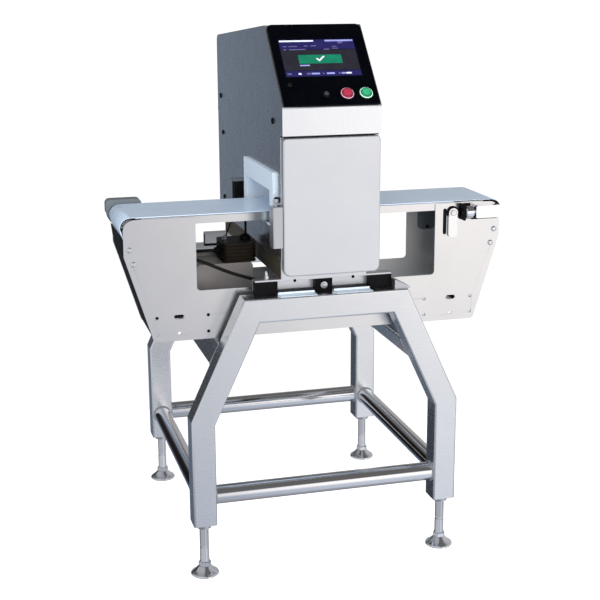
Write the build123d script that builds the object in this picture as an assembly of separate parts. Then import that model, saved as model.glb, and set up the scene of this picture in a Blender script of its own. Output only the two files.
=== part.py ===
from build123d import *
import os
from math import atan2, cos, hypot, pi, radians, sin, tan

# Conveyor metal detector: a stand of square and round tube, a detector head with a
# tunnel through it, and a belt conveyor whose U-shaped side plates pass under the head.
# Millimetres. X runs along the belt, Y from the operator's side to the back, Z up.
# All sizes are first laid out from the middle of the stand. At the end everything is
# moved so that the origin is the middle of the whole footprint, on the floor.

# Stand
stand_width = 584
stand_depth = 608
tube = 50
tube_wall = 2
tube_corner = 4
leg_bottom_z = 118
kink_z = 350
beam_top_z = 602
beam_width = 352
rail_dia = 40
rail_wall = 1.5
rail_z = 178
side_tube_drop = 165

# Levelling feet
rod_dia = 20
rod_engaged = 55
pad_dia = 60
pad_rim = 6
pad_cone_top_dia = 26
pad_cone_z = 20
collar_flats = 24
collar_height = 10
bush_top_dia = 40
bush_bottom_dia = 32
bush_height = 10

# Base under the head
block_size = (48, 20, 28)
centre_block_width = 36
block_pitch = 123.5
block_setback = 29
base_angle_thick = 4
base_angle_drop = 22
base_rail_width = 40
base_rail_height = 48
base_rail_wall = 2
base_rail_x = 72

# Belt, its bed and its rollers
belt_over_beam = 168
conveyor_centre_y = -144
conveyor_width = 180
belt_thick = 2
belt_edge_gap = 2.5
roller_dia = 40
roller_gap = 0.3
shaft_dia = 16
fit_gap = 0.05
bearing_dia = 34
bearing_thick = 8
roller_end_gap = 1
bed_thick = 2
bed_height = 16
bed_play = 0.5
running_gap = 0.3

# U-shaped side plates
plate_thick = 3
plate_under_beam = 94
wing_half = 408
wing_width = 148
wing_drop = 4
wing_side_height = 76
wing_foot_inset = 56
strip_height = 104
plate_top_radius = 24
plate_bottom_radius = 10
window_radius = 8
end_roller_inset = 17
corner_roller_inset = 7
corner_roller_rise = 82
guard_thick = 2
guard_top_rise = 22
guard_foot_rise = 8
guard_inset = 1
guard_tab = 26
guard_tab_height = 40
bar_dia = 12
member_room = 20
member_wall = 3

# Holes and slots in the side plates
hole_outer_inset = 7
hole_slot_offset = 39
hole_inner_offset = 22
hole_low_rise = 16
hole_spacing = 35
hole_radius = 3.5
slot_length = 21
slot_radius = 4.5
guard_screw_inset = 12
guard_screw_rise = 15
guard_screw_low_inset = 19
guard_screw_low_rise = -15
guard_screw_radius = 3
latch_slot_offset = 17
latch_slot_drop = 39
latch_slot_length = 56
latch_slot_radius = 4

# Take-up of the tail roller and the release lever
take_up_travel = 5
take_up_length = 57
take_up_height = 27
take_up_thick = 22
take_up_radius = 4
take_up_beyond = 11
bolt_dia = 8
nut_dia = 26
nut_length = 18
nut_play = 0.3
bracket_length_x = 6
bracket_height_z = 34
bracket_base = 1.5
bracket_tip = 4.5
ledge_gap = 0.5
ledge_depth = 12
lever_gap = 2
lever_drop = 20
lever_hub_dia = 20
lever_pin_dia = 8
lever_thick = 5
lever_width = 20
lever_length = 53
lever_stand = 2
lever_head = 3
lever_head_dia = 13

# Detector head
head_width = 204
case_front_room = 88.5
case_back_room = 325.5
case_over_tunnel = 116
split_gap = 4
front_wall_height = 57
slope_run = 143
slope_rise = 153
roof_fall = 36
case_wall = 2
roof_back_radius = 16
panel_lip_radius = 6
door_depth = 18
door_drop = 30
door_gap = 1
door_wall = 2
door_top_radius = 9
door_bottom_radius = 14
door_edge_radius = 3
gasket_inset = 5
gasket_width = 10

# Control panel and its buttons, measured up the slope from the slope's lower edge
panel_thick = 4
panel_side_margin = 3
panel_end_margin = 2
panel_radius = 12
display_width = 160
display_height = 97
display_x = -2.5
display_low = 72
display_thick = 3
display_sink = 0.5
button_low = 26
start_inset = 29
button_pitch = 39
reset_x = -9
lamp_x = -78
lamp_low = 53
bezel_dia = 29
bezel_height = 4
cap_dia = 21
cap_stand = 3
cap_depth = 12
cap_clearance = 0.4
reset_bezel_dia = 15
reset_cap_dia = 9
lamp_dia = 9
lamp_stand = 1.5

# Tunnel and coils
opening_side_room = 12.5
opening_below_belt = 24
opening_height = 70
liner_wall = 4
flange_thick = 6
flange_side = 28
flange_top = 39
flange_radius = 3
core_margin = 34
core_end_gap = 10
winding_width = 8
winding_thick = 6
winding_spacing = 55

# Inner boards
psu_size = (90, 180, 60)
board_size = (150, 110, 2)
board_post = 10
board_part = 14
board_part_shares = (-0.25, 0.05, 0.3)

# Product sensor
sensor_box_depth = 20
sensor_box_setback = 3
sensor_box_length = 30
sensor_box_below = 59
sensor_box_above = 24
sensor_box_wall = 2
gland_dia = 10
gland_height = 14
rear_sensor_size = (20, 30, 42)
rear_sensor_offset = 17.5
rear_sensor_above = 27
bracket_thick = 3
bracket_length = 40
bracket_height = 56

# Drive
gearbox_size = (122, 88, 66)
gearbox_over_belt = 10
gearbox_radius = 8
motor_size = (74, 80)
motor_height = 42
motor_gap = 10
motor_offset = 58
motor_radius = 12
motor_fins = 5
fin_depth = 3
motor_plate_thick = 4
output_inset_x = 22
output_rise = 20
output_shaft_dia = 12
pulley_teeth = 14
motor_pulley_teeth = 13
tooth_pitch = 8
tooth_depth = 2.4
pulley_width = 14
pulley_offset = 5
timing_gap = 0.4
timing_thick = 2.5
cover_gap = 2.5
cover_wall = 2
cover_depth = 30
cover_left = 28
cover_right = 48
cover_low = -4
cover_high = 31
cover_corner = 10
cable_dia = 7
cable_arc_share = 0.45
gland_flats = 17
gland_nut = 5
gland_cap_dia = 13
gland_cap = 7
head_gland_x = 3
head_gland_offset = 56
mains_gland_rise = 60

cut = 1

# Worked-out places: stand and base
half_stand = stand_width / 2
half_depth = stand_depth / 2
slope = atan2(half_stand - beam_width / 2, beam_top_z - kink_z)
inner_kink_z = kink_z - tube * tan(slope / 2)
side_tube_z = beam_top_z - side_tube_drop
leg_x = half_stand - tube / 2
leg_y = half_depth - tube / 2
block_front_y = -half_depth + block_setback
head_bottom_z = beam_top_z + block_size[2] + base_angle_thick + base_rail_height

# Worked-out places: conveyor
belt_top_z = beam_top_z + belt_over_beam
plate_bottom_z = beam_top_z - plate_under_beam
conveyor_front_y = conveyor_centre_y - conveyor_width / 2
conveyor_back_y = conveyor_front_y + conveyor_width
plate_front_inner = conveyor_front_y + plate_thick
plate_back_inner = conveyor_back_y - plate_thick
wing_top_z = belt_top_z - wing_drop
wing_kink_z = wing_top_z - wing_side_height
wing_foot_half = wing_half - wing_foot_inset
window_half = wing_half - wing_width
window_floor_z = plate_bottom_z + strip_height
roller_radius = roller_dia / 2
end_roller_x = wing_half - end_roller_inset
end_roller_z = belt_top_z - belt_thick - roller_gap - roller_radius
corner_roller_x = wing_foot_half - corner_roller_inset
corner_roller_z = plate_bottom_z + corner_roller_rise
belt_front_y = plate_front_inner + belt_edge_gap
belt_back_y = plate_back_inner - belt_edge_gap
roller_front_y = plate_front_inner + bearing_thick + roller_end_gap
roller_back_y = plate_back_inner - bearing_thick - roller_end_gap
return_low_z = corner_roller_z - roller_radius - roller_gap - belt_thick
member_top_z = return_low_z - member_room
guard_top_z = wing_kink_z + guard_top_rise
guard_foot_z = plate_bottom_z + guard_foot_rise

# Worked-out places: holes, take-up and lever
hole_outer_x = wing_foot_half - hole_outer_inset
hole_slot_x = window_half + hole_slot_offset
hole_inner_x = window_half - hole_inner_offset
hole_low_z = plate_bottom_z + hole_low_rise
hole_high_z = hole_low_z + hole_spacing
guard_screws = ((wing_half - guard_screw_inset, wing_kink_z + guard_screw_rise),
                (wing_half - guard_screw_low_inset, wing_kink_z + guard_screw_low_rise))
take_up_end_x = end_roller_x + take_up_beyond
nut_end_x = take_up_end_x - take_up_length - take_up_travel - nut_play
bracket_end_x = nut_end_x - nut_length - nut_play
bracket_start_x = bracket_end_x - bracket_length_x
lever_x = bracket_start_x - bracket_tip - lever_gap - lever_hub_dia / 2
lever_z = wing_top_z - lever_drop
latch_slot_x = lever_x - latch_slot_offset
latch_slot_z = wing_top_z - latch_slot_drop

# Worked-out places: head
half_head = head_width / 2
opening_width = conveyor_width + opening_side_room * 2
opening_front_y = conveyor_front_y - opening_side_room
opening_back_y = opening_front_y + opening_width
opening_bottom_z = belt_top_z - opening_below_belt
opening_top_z = opening_bottom_z + opening_height
head_front_y = opening_front_y - case_front_room
head_back_y = opening_back_y + case_back_room
case_split_z = opening_top_z + case_over_tunnel
panel_low_z = case_split_z + front_wall_height
panel_top_y = head_front_y + slope_run
panel_top_z = panel_low_z + slope_rise
roof_back_z = panel_top_z - roof_fall
panel_angle = atan2(slope_rise, slope_run)
panel_length = hypot(slope_rise, slope_run)
start_x = half_head - start_inset
stop_x = start_x - button_pitch
sensor_box_front_y = head_front_y + sensor_box_setback
sensor_box_low_z = belt_top_z - sensor_box_below
sensor_box_high_z = belt_top_z + sensor_box_above
rear_sensor_y = opening_back_y + flange_side + rear_sensor_offset
rear_sensor_top_z = belt_top_z + rear_sensor_above

# Worked-out places: drive
gearbox_back_y = plate_back_inner - motor_plate_thick
gearbox_front_y = gearbox_back_y - gearbox_size[1]
gearbox_low_z = corner_roller_z - roller_radius + gearbox_over_belt
gearbox_top_z = gearbox_low_z + gearbox_size[2]
motor_left_x = -half_head - motor_gap - motor_size[0]
motor_top_z = gearbox_top_z + motor_height
gearbox_left_x = motor_left_x - motor_offset
output_x = gearbox_left_x + output_inset_x
output_z = gearbox_low_z + output_rise
pulley_radius = pulley_teeth * tooth_pitch / (2 * pi)
motor_pulley_radius = motor_pulley_teeth * tooth_pitch / (2 * pi)
pulley_front_y = conveyor_back_y + pulley_offset
pulley_back_y = pulley_front_y + pulley_width
head_gland_y = conveyor_centre_y - head_gland_offset

# The footprint runs from the drive cover to the belt's right end, and from the
# head's face to the rim of the back feet.
footprint_left = -end_roller_x - cover_left
footprint_right = end_roller_x + roller_radius + roller_gap + belt_thick
footprint_front = head_front_y
footprint_back = leg_y + pad_dia / 2
datum_x = (footprint_left + footprint_right) / 2
datum_y = (footprint_front + footprint_back) / 2


def span_box(x0, x1, y0, y1, z0, z1):
    """A box between limits on each axis."""
    middle = Pos((x0 + x1) / 2, (y0 + y1) / 2, (z0 + z1) / 2)
    return middle * Box(x1 - x0, y1 - y0, z1 - z0)


def rod_y(radius, x, z, y0, y1):
    """A round bar along Y."""
    return Pos(x, (y0 + y1) / 2, z) * Rot(90, 0, 0) * Cylinder(radius, y1 - y0)


def rod_x(radius, y, z, x0, x1):
    """A round bar along X."""
    return Pos((x0 + x1) / 2, y, z) * Rot(0, 90, 0) * Cylinder(radius, x1 - x0)


def rod_z(radius, x, y, z0, z1):
    """A round bar along Z."""
    return Pos(x, y, (z0 + z1) / 2) * Cylinder(radius, z1 - z0)


def outline(points, radii=0):
    """A flat face in X and Y from corner points, with one corner radius or a list."""
    if radii == 0:
        return make_face(Polyline(*points, close=True))
    return make_face(FilletPolyline(*points, radius=radii, close=True))


def across_y(sketch, y0, y1):
    """Stand a sketch of X and Z up and thicken it from y0 to y1."""
    plane = Plane(origin=(0, y1, 0), x_dir=(1, 0, 0), z_dir=(0, -1, 0))
    return extrude(plane * sketch, amount=y1 - y0)


def across_x(sketch, x0, x1):
    """Stand a sketch of Y and Z up and thicken it from x0 to x1."""
    plane = Plane(origin=(x0, 0, 0), x_dir=(0, 1, 0), z_dir=(1, 0, 0))
    return extrude(plane * sketch, amount=x1 - x0)


def mirror_x(part):
    """The same part on the other side of the middle plane across the belt."""
    return mirror(part, about=Plane.YZ)


# Stand

def frame_corners(inset):
    """Corner points of an A-frame's outline, moved inwards by a wall."""
    out_x = half_stand - inset
    bend_z = kink_z - inset * tan(slope / 2)
    top_z = beam_top_z - inset
    top_x = out_x - (top_z - bend_z) * tan(slope)
    return out_x, bend_z, top_x, top_z


def frame_face(inset):
    """Face of the A-frame seen from the front, as a band of one tube's width."""
    out_x, bend_z, top_x, top_z = frame_corners(inset)
    in_x, in_bend_z, in_top_x, in_top_z = frame_corners(tube - inset)
    low = leg_bottom_z + inset
    right = [(out_x, low), (out_x, bend_z), (top_x, top_z)]
    left = [(-x, z) for x, z in reversed(right)]
    inner_left = [(-in_x, low), (-in_x, in_bend_z), (-in_top_x, in_top_z)]
    inner_right = [(-x, z) for x, z in reversed(inner_left)]
    return outline(right + left + inner_left + inner_right)


def leg_frame(y0):
    """One welded A-frame of square tube, hollow, with a hole for each spindle."""
    frame = across_y(frame_face(0), y0, y0 + tube)
    level = leg_bottom_z + tube_wall
    long_edges = [edge for edge in frame.edges() - frame.edges().filter_by(Axis.Y) if edge.center().Z > level]
    frame = fillet(long_edges, tube_corner)
    frame -= across_y(frame_face(tube_wall), y0 + tube_wall, y0 + tube - tube_wall)
    for side in (-1, 1):
        frame -= rod_z(bush_top_dia / 2 - tube_wall, side * leg_x, y0 + tube / 2,
                       leg_bottom_z - cut, leg_bottom_z + tube_wall + cut)
    return frame


def leg_bush(x, y):
    """Tapered threaded collar under a leg, with a spigot in the leg's end plate."""
    low = leg_bottom_z - bush_height
    cone = Pos(x, y, low + bush_height / 2) * Cone(bush_bottom_dia / 2, bush_top_dia / 2, bush_height)
    spigot = rod_z(bush_top_dia / 2 - tube_wall, x, y, leg_bottom_z, leg_bottom_z + tube_wall)
    bore = rod_z(rod_dia / 2 + fit_gap, x, y, low - cut, leg_bottom_z + tube_wall + cut)
    return cone + spigot - bore


def levelling_foot(x, y):
    """Round pad with a rim, a cone, a hexagonal collar and the spindle, as one turned piece."""
    rim, neck = pad_dia / 2, pad_cone_top_dia / 2
    section = outline([(0, 0), (rim, 0), (rim, pad_rim), (neck, pad_cone_z), (0, pad_cone_z)])
    pad = revolve(Plane.XZ * section, axis=Axis.Z)
    collar = extrude(Pos(0, 0, pad_cone_z) * RegularPolygon(collar_flats / 2, 6, major_radius=False),
                     amount=collar_height)
    rod_low = pad_cone_z + collar_height
    rod = rod_z(rod_dia / 2, 0, 0, rod_low, leg_bottom_z + rod_engaged)
    return Pos(x, y, 0) * (pad + collar + rod)


def round_rail(bar, offset, end):
    """Polished tube between two legs, drawn by a round bar's function from -end to end."""
    inner = rail_dia / 2 - rail_wall
    return bar(rail_dia / 2, offset, rail_z, -end, end) - bar(inner, offset, rail_z, -end - cut, end + cut)


def side_tube_corners(inset):
    """Corners of the sloped square tube on the right, seen from the front."""
    foot_x = half_stand - tube - (side_tube_z - inner_kink_z) * tan(slope)
    up = (-sin(slope), cos(slope))
    out = (cos(slope), sin(slope))
    steps = ((inset, inset), (tube - inset, inset), (tube - inset, tube - inset), (inset, tube - inset))
    return [(foot_x + a * out[0] + b * up[0], side_tube_z + a * out[1] + b * up[1]) for a, b in steps]


def side_tube():
    """Square tube from the front frame to the rear frame on the sloped legs."""
    end = half_depth - tube
    solid = across_y(outline(side_tube_corners(0), tube_corner), -end, end)
    return solid - across_y(outline(side_tube_corners(tube_wall)), -end - cut, end + cut)


# Base under the head

def insulating_blocks():
    """Three black blocks on each beam."""
    blocks = []
    front = block_front_y
    for row, width in ((-1, block_size[0]), (0, centre_block_width), (1, block_size[0])):
        x = row * block_pitch
        for y0 in (front, -front - block_size[1]):
            blocks.append(span_box(x - width / 2, x + width / 2, y0, y0 + block_size[1],
                                   beam_top_z, beam_top_z + block_size[2]))
    return blocks


def base_frame():
    """Angle bars on the blocks, each with an upright bar that closes the front or the back."""
    low = beam_top_z + block_size[2]
    half = block_pitch + block_size[0] / 2
    front = block_front_y
    back = front + block_size[1]
    top = low + base_angle_thick
    foot = across_x(outline([(front, low), (back, low), (back, low - base_angle_drop),
                             (back + base_angle_thick, low - base_angle_drop),
                             (back + base_angle_thick, top), (front, top)]), -half, half)
    end = base_rail_x + base_rail_width / 2
    foot += span_box(-end, end, front, front + base_angle_thick, top, head_bottom_z)
    return [foot, mirror(foot, about=Plane.XZ)]


def base_rails():
    """Two rectangular tubes from front to back that carry the head."""
    low = beam_top_z + block_size[2] + base_angle_thick
    inner, outer = base_rail_x - base_rail_width / 2, base_rail_x + base_rail_width / 2
    end = -block_front_y - base_angle_thick
    w = base_rail_wall
    rail = span_box(inner, outer, -end, end, low, head_bottom_z)
    rail -= span_box(inner + w, outer - w, -end - cut, end + cut, low + w, head_bottom_z - w)
    return [rail, mirror_x(rail)]


# Head

def tunnel_box(x0, x1, margin):
    """Box along the tunnel, larger than its opening by a margin."""
    return span_box(x0, x1, opening_front_y - margin, opening_back_y + margin,
                    opening_bottom_z - margin, opening_top_z + margin)


def tunnel_ring(x0, x1, inner, outer):
    """Rectangular ring round the tunnel, between two margins."""
    return tunnel_box(x0, x1, outer) - tunnel_box(x0 - cut, x1 + cut, inner)


def lower_case():
    """Coil housing: a sheet box, open at the front, with the tunnel's hole through its sides."""
    top = case_split_z - split_gap / 2
    front = head_front_y + door_depth
    box = span_box(-half_head, half_head, front, head_back_y, head_bottom_z, top)
    box -= span_box(-half_head + case_wall, half_head - case_wall, front - cut, head_back_y - case_wall,
                    head_bottom_z + case_wall, top - case_wall)
    return box - tunnel_box(-half_head - cut, half_head + cut, liner_wall)


def front_door():
    """Rounded sheet cover over the whole lower front, with folded edges, hanging below the case."""
    half = half_head - door_gap
    bottom, top = head_bottom_z - door_drop, case_split_z - split_gap / 2
    corners = [(-half, bottom), (half, bottom), (half, top), (-half, top)]
    radii = [door_bottom_radius, door_bottom_radius, door_top_radius, door_top_radius]
    back = head_front_y + door_depth
    door = across_y(outline(corners, radii), head_front_y, back)
    door = fillet(door.faces().sort_by(Axis.Y)[0].edges(), door_edge_radius)
    w = door_wall
    low, high, side = bottom + w, top - w, half - w
    inner = [(-side, low), (side, low), (side, high), (-side, high)]
    inner_radii = [r - w for r in radii]
    return door - across_y(outline(inner, inner_radii), head_front_y + w, back + cut)


def upper_points(inset):
    """Side outline of the electronics housing in Y and Z, moved inwards by a wall."""
    base = case_split_z + split_gap / 2
    roof = atan2(panel_top_z - roof_back_z, head_back_y - panel_top_y)
    front, back = head_front_y + inset, head_back_y - inset
    shift_low = inset * tan((pi / 2 - panel_angle) / 2)
    low_z = panel_low_z - shift_low
    turn = (panel_angle + roof) / 2
    top_y = panel_top_y + inset * sin((panel_angle - roof) / 2) / cos(turn)
    top_z = panel_top_z - inset * cos((panel_angle - roof) / 2) / cos(turn)
    back_z = top_z - (back - top_y) * tan(roof)
    return [(front, base + inset), (front, low_z), (top_y, top_z), (back, back_z), (back, base + inset)]


def upper_case():
    """Electronics housing: sheet shell with a sloped face, a falling roof and a rounded back edge."""
    points = upper_points(0)
    radii = [0, panel_lip_radius, panel_lip_radius, roof_back_radius, 0]
    shell = across_x(outline(points, radii), -half_head, half_head)
    inner_radius = roof_back_radius - case_wall
    inner = outline(upper_points(case_wall), [0, 0, 0, inner_radius, 0])
    shell -= across_x(inner, -half_head + case_wall, half_head - case_wall)
    return shell - panel_recess()


def slope_place(x, up, out=0):
    """Location on the sloped face: x across, up the slope, out along its normal."""
    y = head_front_y + up * cos(panel_angle) - out * sin(panel_angle)
    z = panel_low_z + up * sin(panel_angle) + out * cos(panel_angle)
    return Plane(origin=(x, y, z), x_dir=(1, 0, 0), z_dir=(0, -sin(panel_angle), cos(panel_angle)))


def panel_outline(margin):
    """Rounded panel outline in the slope's own plane."""
    half = half_head - panel_side_margin - margin
    low, high = panel_end_margin + margin, panel_length - panel_end_margin - margin
    radii = [panel_end_margin, panel_end_margin, panel_radius - margin, panel_radius - margin]
    return outline([(-half, low), (half, low), (half, high), (-half, high)], radii)


def panel_recess():
    """Opening in the sloped face behind the panel."""
    face = slope_place(0, 0, -case_wall - cut) * panel_outline(panel_side_margin * 2)
    return extrude(face, amount=case_wall + cut * 2)


def slope_disc(radius, x, low, high, up=button_low):
    """Disc or plug between two heights off the sloped face, on the button row if not told otherwise."""
    return extrude(slope_place(x, up, low) * Circle(radius), amount=high - low)


def control_panel():
    """Black panel with a window for the display and holes for the buttons."""
    panel = extrude(slope_place(0, 0, 0) * panel_outline(0), amount=panel_thick)
    window = Pos(display_x, display_low + display_height / 2) * Rectangle(display_width, display_height)
    panel -= extrude(slope_place(0, 0, panel_thick - display_thick) * window, amount=display_thick + cut)
    for x, hole in ((stop_x, cap_dia), (start_x, cap_dia), (reset_x, reset_cap_dia)):
        panel -= slope_disc(hole / 2 + cap_clearance, x, -cut, panel_thick + cut)
    return panel - slope_disc(lamp_dia / 2, lamp_x, -cut, panel_thick + cut, lamp_low)


def display():
    """Touch screen glass, set into the panel."""
    glass = Pos(display_x, display_low + display_height / 2) * Rectangle(display_width, display_height)
    seat = slope_place(0, 0, panel_thick - display_thick)
    return extrude(seat * glass, amount=display_thick - display_sink)


def button_bezels():
    """Raised rings round the three buttons."""
    rings = []
    for x, outer, inner in ((stop_x, bezel_dia, cap_dia), (start_x, bezel_dia, cap_dia),
                            (reset_x, reset_bezel_dia, reset_cap_dia)):
        top = panel_thick + bezel_height
        ring = slope_disc(outer / 2, x, panel_thick, top)
        rim = ring.edges().filter_by(GeomType.CIRCLE).sort_by(Axis.Z)[-1]
        ring = chamfer(rim, bezel_height / 3)
        rings.append(ring - slope_disc(inner / 2 + cap_clearance, x, 0, top + cut))
    return rings


def push_button(x, dia):
    """Cap with a stem that slides in the panel."""
    top = panel_thick + bezel_height + cap_stand
    cap = slope_disc(dia / 2, x, top - cap_depth, top)
    rim = cap.edges().filter_by(GeomType.CIRCLE).sort_by(Axis.Z)[-1]
    return fillet(rim, cap_stand / 3)


def status_lamp():
    """Small round lamp at the left, above the button row."""
    lamp = slope_disc(lamp_dia / 2, lamp_x, 0, panel_thick + lamp_stand, lamp_low)
    rim = lamp.edges().filter_by(GeomType.CIRCLE).sort_by(Axis.Z)[-1]
    return fillet(rim, lamp_stand / 2)


def case_gasket():
    """Dark frame between the two housings, set back from their faces."""
    low, high = case_split_z - split_gap / 2, case_split_z + split_gap / 2
    i, w = gasket_inset, gasket_inset + gasket_width
    outer = span_box(-half_head + i, half_head - i, head_front_y + door_depth + i, head_back_y - i, low, high)
    return outer - span_box(-half_head + w, half_head - w, head_front_y + door_depth + w, head_back_y - w,
                            low - cut, high + cut)


def tunnel_liner():
    """Plastic tube through the head."""
    return tunnel_ring(-half_head, half_head, 0, liner_wall)


def tunnel_flange():
    """White flange round the tunnel's mouth on the left face: narrow sides and a deep top."""
    front, back = opening_front_y - flange_side, opening_back_y + flange_side
    low, high = opening_bottom_z - liner_wall, opening_top_z + flange_top
    left, right = -half_head - flange_thick, -half_head
    border = outline([(front, low), (back, low), (back, high), (front, high)], flange_radius)
    return across_x(border, left, right) - tunnel_box(left - cut, right + cut, 0)


def coil_windings():
    """One transmitting and two receiving coils round the tunnel."""
    places = [row * winding_spacing for row in (-1, 0, 1)]
    inner, half = liner_wall, winding_width / 2
    return [tunnel_ring(x - half, x + half, inner, inner + winding_thick) for x in places]


def coil_core():
    """Potted block that holds the coils still, down to the housing's floor."""
    half = half_head - core_end_gap
    reach = liner_wall + core_margin
    core = tunnel_ring(-half, half, liner_wall, reach)
    core += span_box(-half, half, opening_front_y - reach, opening_back_y + reach, head_bottom_z + case_wall,
                     opening_bottom_z - reach)
    for coil in coil_windings():
        core -= coil
    return core


def power_supply():
    """Supply unit on the floor of the coil housing, behind the coils."""
    w, d, h = psu_size
    back = head_back_y - case_wall - board_post
    low = head_bottom_z + case_wall
    unit = span_box(-w / 2, w / 2, back - d, back, low, low + h)
    return fillet(unit.edges().filter_by(Axis.Z), board_post / 5)


def control_board():
    """Board on four posts on the floor of the electronics housing, with its largest components."""
    w, d, t = board_size
    floor = case_split_z + split_gap / 2 + case_wall
    low = floor + board_post
    board = span_box(-w / 2, w / 2, -d / 2, d / 2, low, low + t)
    inset = board_post / 2
    for sx in (-1, 1):
        for sy in (-1, 1):
            board += rod_z(inset / 2, sx * (w / 2 - inset), sy * (d / 2 - inset), floor, low)
    for share in board_part_shares:
        board += span_box(w * share - board_part, w * share + board_part, -d * share - board_part / 2,
                          -d * share + board_part, low + t, low + t + board_part / 2)
    return board


# Product sensor

def infeed_sensor_box():
    """Folded stainless cover for the sensor beside the tunnel, with its cable gland on top."""
    left = -half_head - sensor_box_depth
    back = sensor_box_front_y + sensor_box_length
    w = sensor_box_wall
    box = span_box(left, -half_head, sensor_box_front_y, back, sensor_box_low_z, sensor_box_high_z)
    box = fillet(box.edges().filter_by(Axis.Z).sort_by(Axis.X)[:2], w)
    box -= span_box(left + w, -half_head + cut, sensor_box_front_y + w, back - w, sensor_box_low_z + w,
                    sensor_box_high_z - w)
    x, y = (left - half_head) / 2, (sensor_box_front_y + back) / 2
    neck_z = sensor_box_high_z + gland_height / 2
    box += rod_z(gland_dia / 4, x, y, sensor_box_high_z - w, neck_z)
    return box + rod_z(gland_dia / 2, x, y, neck_z, sensor_box_high_z + gland_height)


def rear_sensor_bracket():
    """Angle on the head's left face that holds the rear sensor."""
    y0, y1 = rear_sensor_y, rear_sensor_y + bracket_length
    top = rear_sensor_top_z + bracket_thick
    reach = bracket_thick + rear_sensor_size[0] + bracket_thick
    upright = span_box(-half_head - bracket_thick, -half_head, y0, y1, top - bracket_height, top)
    return upright + span_box(-half_head - reach, -half_head, y0, y1, rear_sensor_top_z, top)


def rear_sensor():
    """Black sensor under the bracket's tab, looking across the belt."""
    w, d, h = rear_sensor_size
    right, y, top = -half_head - bracket_thick, rear_sensor_y, rear_sensor_top_z
    body = span_box(right - w, right, y, y + d, top - h, top)
    body = fillet(body.edges().filter_by(Axis.Z).sort_by(Axis.X)[:2], bracket_thick)
    return body + rod_y(w / 4, right - w / 2, top - h / 2, y - bracket_thick, y)


# Conveyor

def plate_outline():
    """Outline of a U-shaped side plate in X and Z."""
    right = [(wing_foot_half, plate_bottom_z), (wing_half, wing_kink_z), (wing_half, wing_top_z),
             (window_half, wing_top_z), (window_half, window_floor_z)]
    left = [(-x, z) for x, z in reversed(right)]
    radii = [plate_bottom_radius, 0, plate_top_radius, 0, window_radius]
    return outline(right + left, radii + list(reversed(radii)))


def wing_holes():
    """Round holes on each wing: distance from the middle, height, radius."""
    places = [(hole_outer_x, hole_high_z), (hole_outer_x, hole_low_z), (hole_slot_x, hole_low_z),
              (hole_inner_x, hole_high_z), (hole_inner_x, hole_low_z)]
    return [(x, z, hole_radius) for x, z in places] + [(x, z, guard_screw_radius) for x, z in guard_screws]


def side_plate(y0):
    """U-shaped side plate with its bolt holes, adjusting slots and axle slot."""
    y1 = y0 + plate_thick
    plate = across_y(plate_outline(), y0, y1)
    adjusting = SlotOverall(slot_length, slot_radius * 2)
    for side in (-1, 1):
        for x, z, radius in wing_holes():
            plate -= rod_y(radius, side * x, z, y0 - cut, y1 + cut)
        plate -= across_y(Pos(side * hole_slot_x, hole_high_z) * adjusting, y0 - cut, y1 + cut)
    axle_width = shaft_dia + running_gap * 2
    axle_slot = SlotOverall(axle_width + take_up_travel, axle_width)
    middle = end_roller_x - take_up_travel / 2
    return plate - across_y(Pos(middle, end_roller_z) * axle_slot, y0 - cut, y1 + cut)


def front_side_plate():
    """Operator's side plate, with the release lever's slot and welded stud."""
    plate = side_plate(conveyor_front_y)
    latch_slot = SlotOverall(latch_slot_length, latch_slot_radius * 2, rotation=90)
    plate -= across_y(Pos(latch_slot_x, latch_slot_z) * latch_slot, conveyor_front_y - cut,
                      plate_front_inner + cut)
    reach = conveyor_front_y - lever_stand - lever_thick - running_gap
    stud = rod_y(lever_pin_dia / 2, lever_x, lever_z, reach, conveyor_front_y)
    seat = conveyor_front_y - lever_stand + running_gap
    collar = rod_y(lever_hub_dia / 3, lever_x, lever_z, seat, conveyor_front_y)
    head = rod_y(lever_head_dia / 2, lever_x, lever_z, reach - lever_head, reach)
    return plate + stud + collar + fillet(head.edges().sort_by(Axis.Y)[0], lever_head / 3)


def rear_side_plate():
    """Drive side plate, with clearance holes for the two shafts of the timing drive."""
    plate = side_plate(conveyor_back_y - plate_thick)
    for x, z, dia in drive_shafts():
        plate -= rod_y(dia / 2 + cut, x, z, plate_back_inner - cut, conveyor_back_y + cut)
    return plate


def drive_shafts():
    """X, Z and diameter of the two shafts of the timing drive."""
    return (-end_roller_x, end_roller_z, shaft_dia), (output_x, output_z, output_shaft_dia)


def cross_members():
    """Two hollow saddles on the stand's sloped tubes and two tie bars, between the side plates."""
    y0, y1 = plate_front_inner, plate_back_inner
    corners = side_tube_corners(0)
    out_x, out_z = corners[2]
    in_x, in_z = corners[3]
    inset_x, fall = tube_corner, tube_corner * tan(slope)
    points = [(in_x + inset_x, in_z + fall), (out_x - inset_x, out_z - fall), (out_x - inset_x, member_top_z),
              (in_x + inset_x, member_top_z)]
    w = member_wall
    hollow = [(in_x + inset_x + w, in_z + fall + w * 2), (out_x - inset_x - w, out_z - fall + w),
              (out_x - inset_x - w, member_top_z - w), (in_x + inset_x + w, member_top_z - w)]
    saddle = across_y(outline(points), y0, y1) - across_y(outline(hollow), y0 - cut, y1 + cut)
    bar = rod_y(bar_dia / 2, hole_outer_x, hole_low_z, y0, y1)
    return [saddle, mirror_x(saddle), bar, mirror_x(bar)]


def roller_centres():
    """Centres of the four belt rollers in X and Z."""
    return [(-end_roller_x, end_roller_z), (end_roller_x, end_roller_z),
            (corner_roller_x, corner_roller_z), (-corner_roller_x, corner_roller_z)]


def belt_face(distance):
    """Face inside the belt's path, at a distance from the roller centres."""
    return offset(outline(roller_centres()), amount=distance, kind=Kind.ARC)


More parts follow.
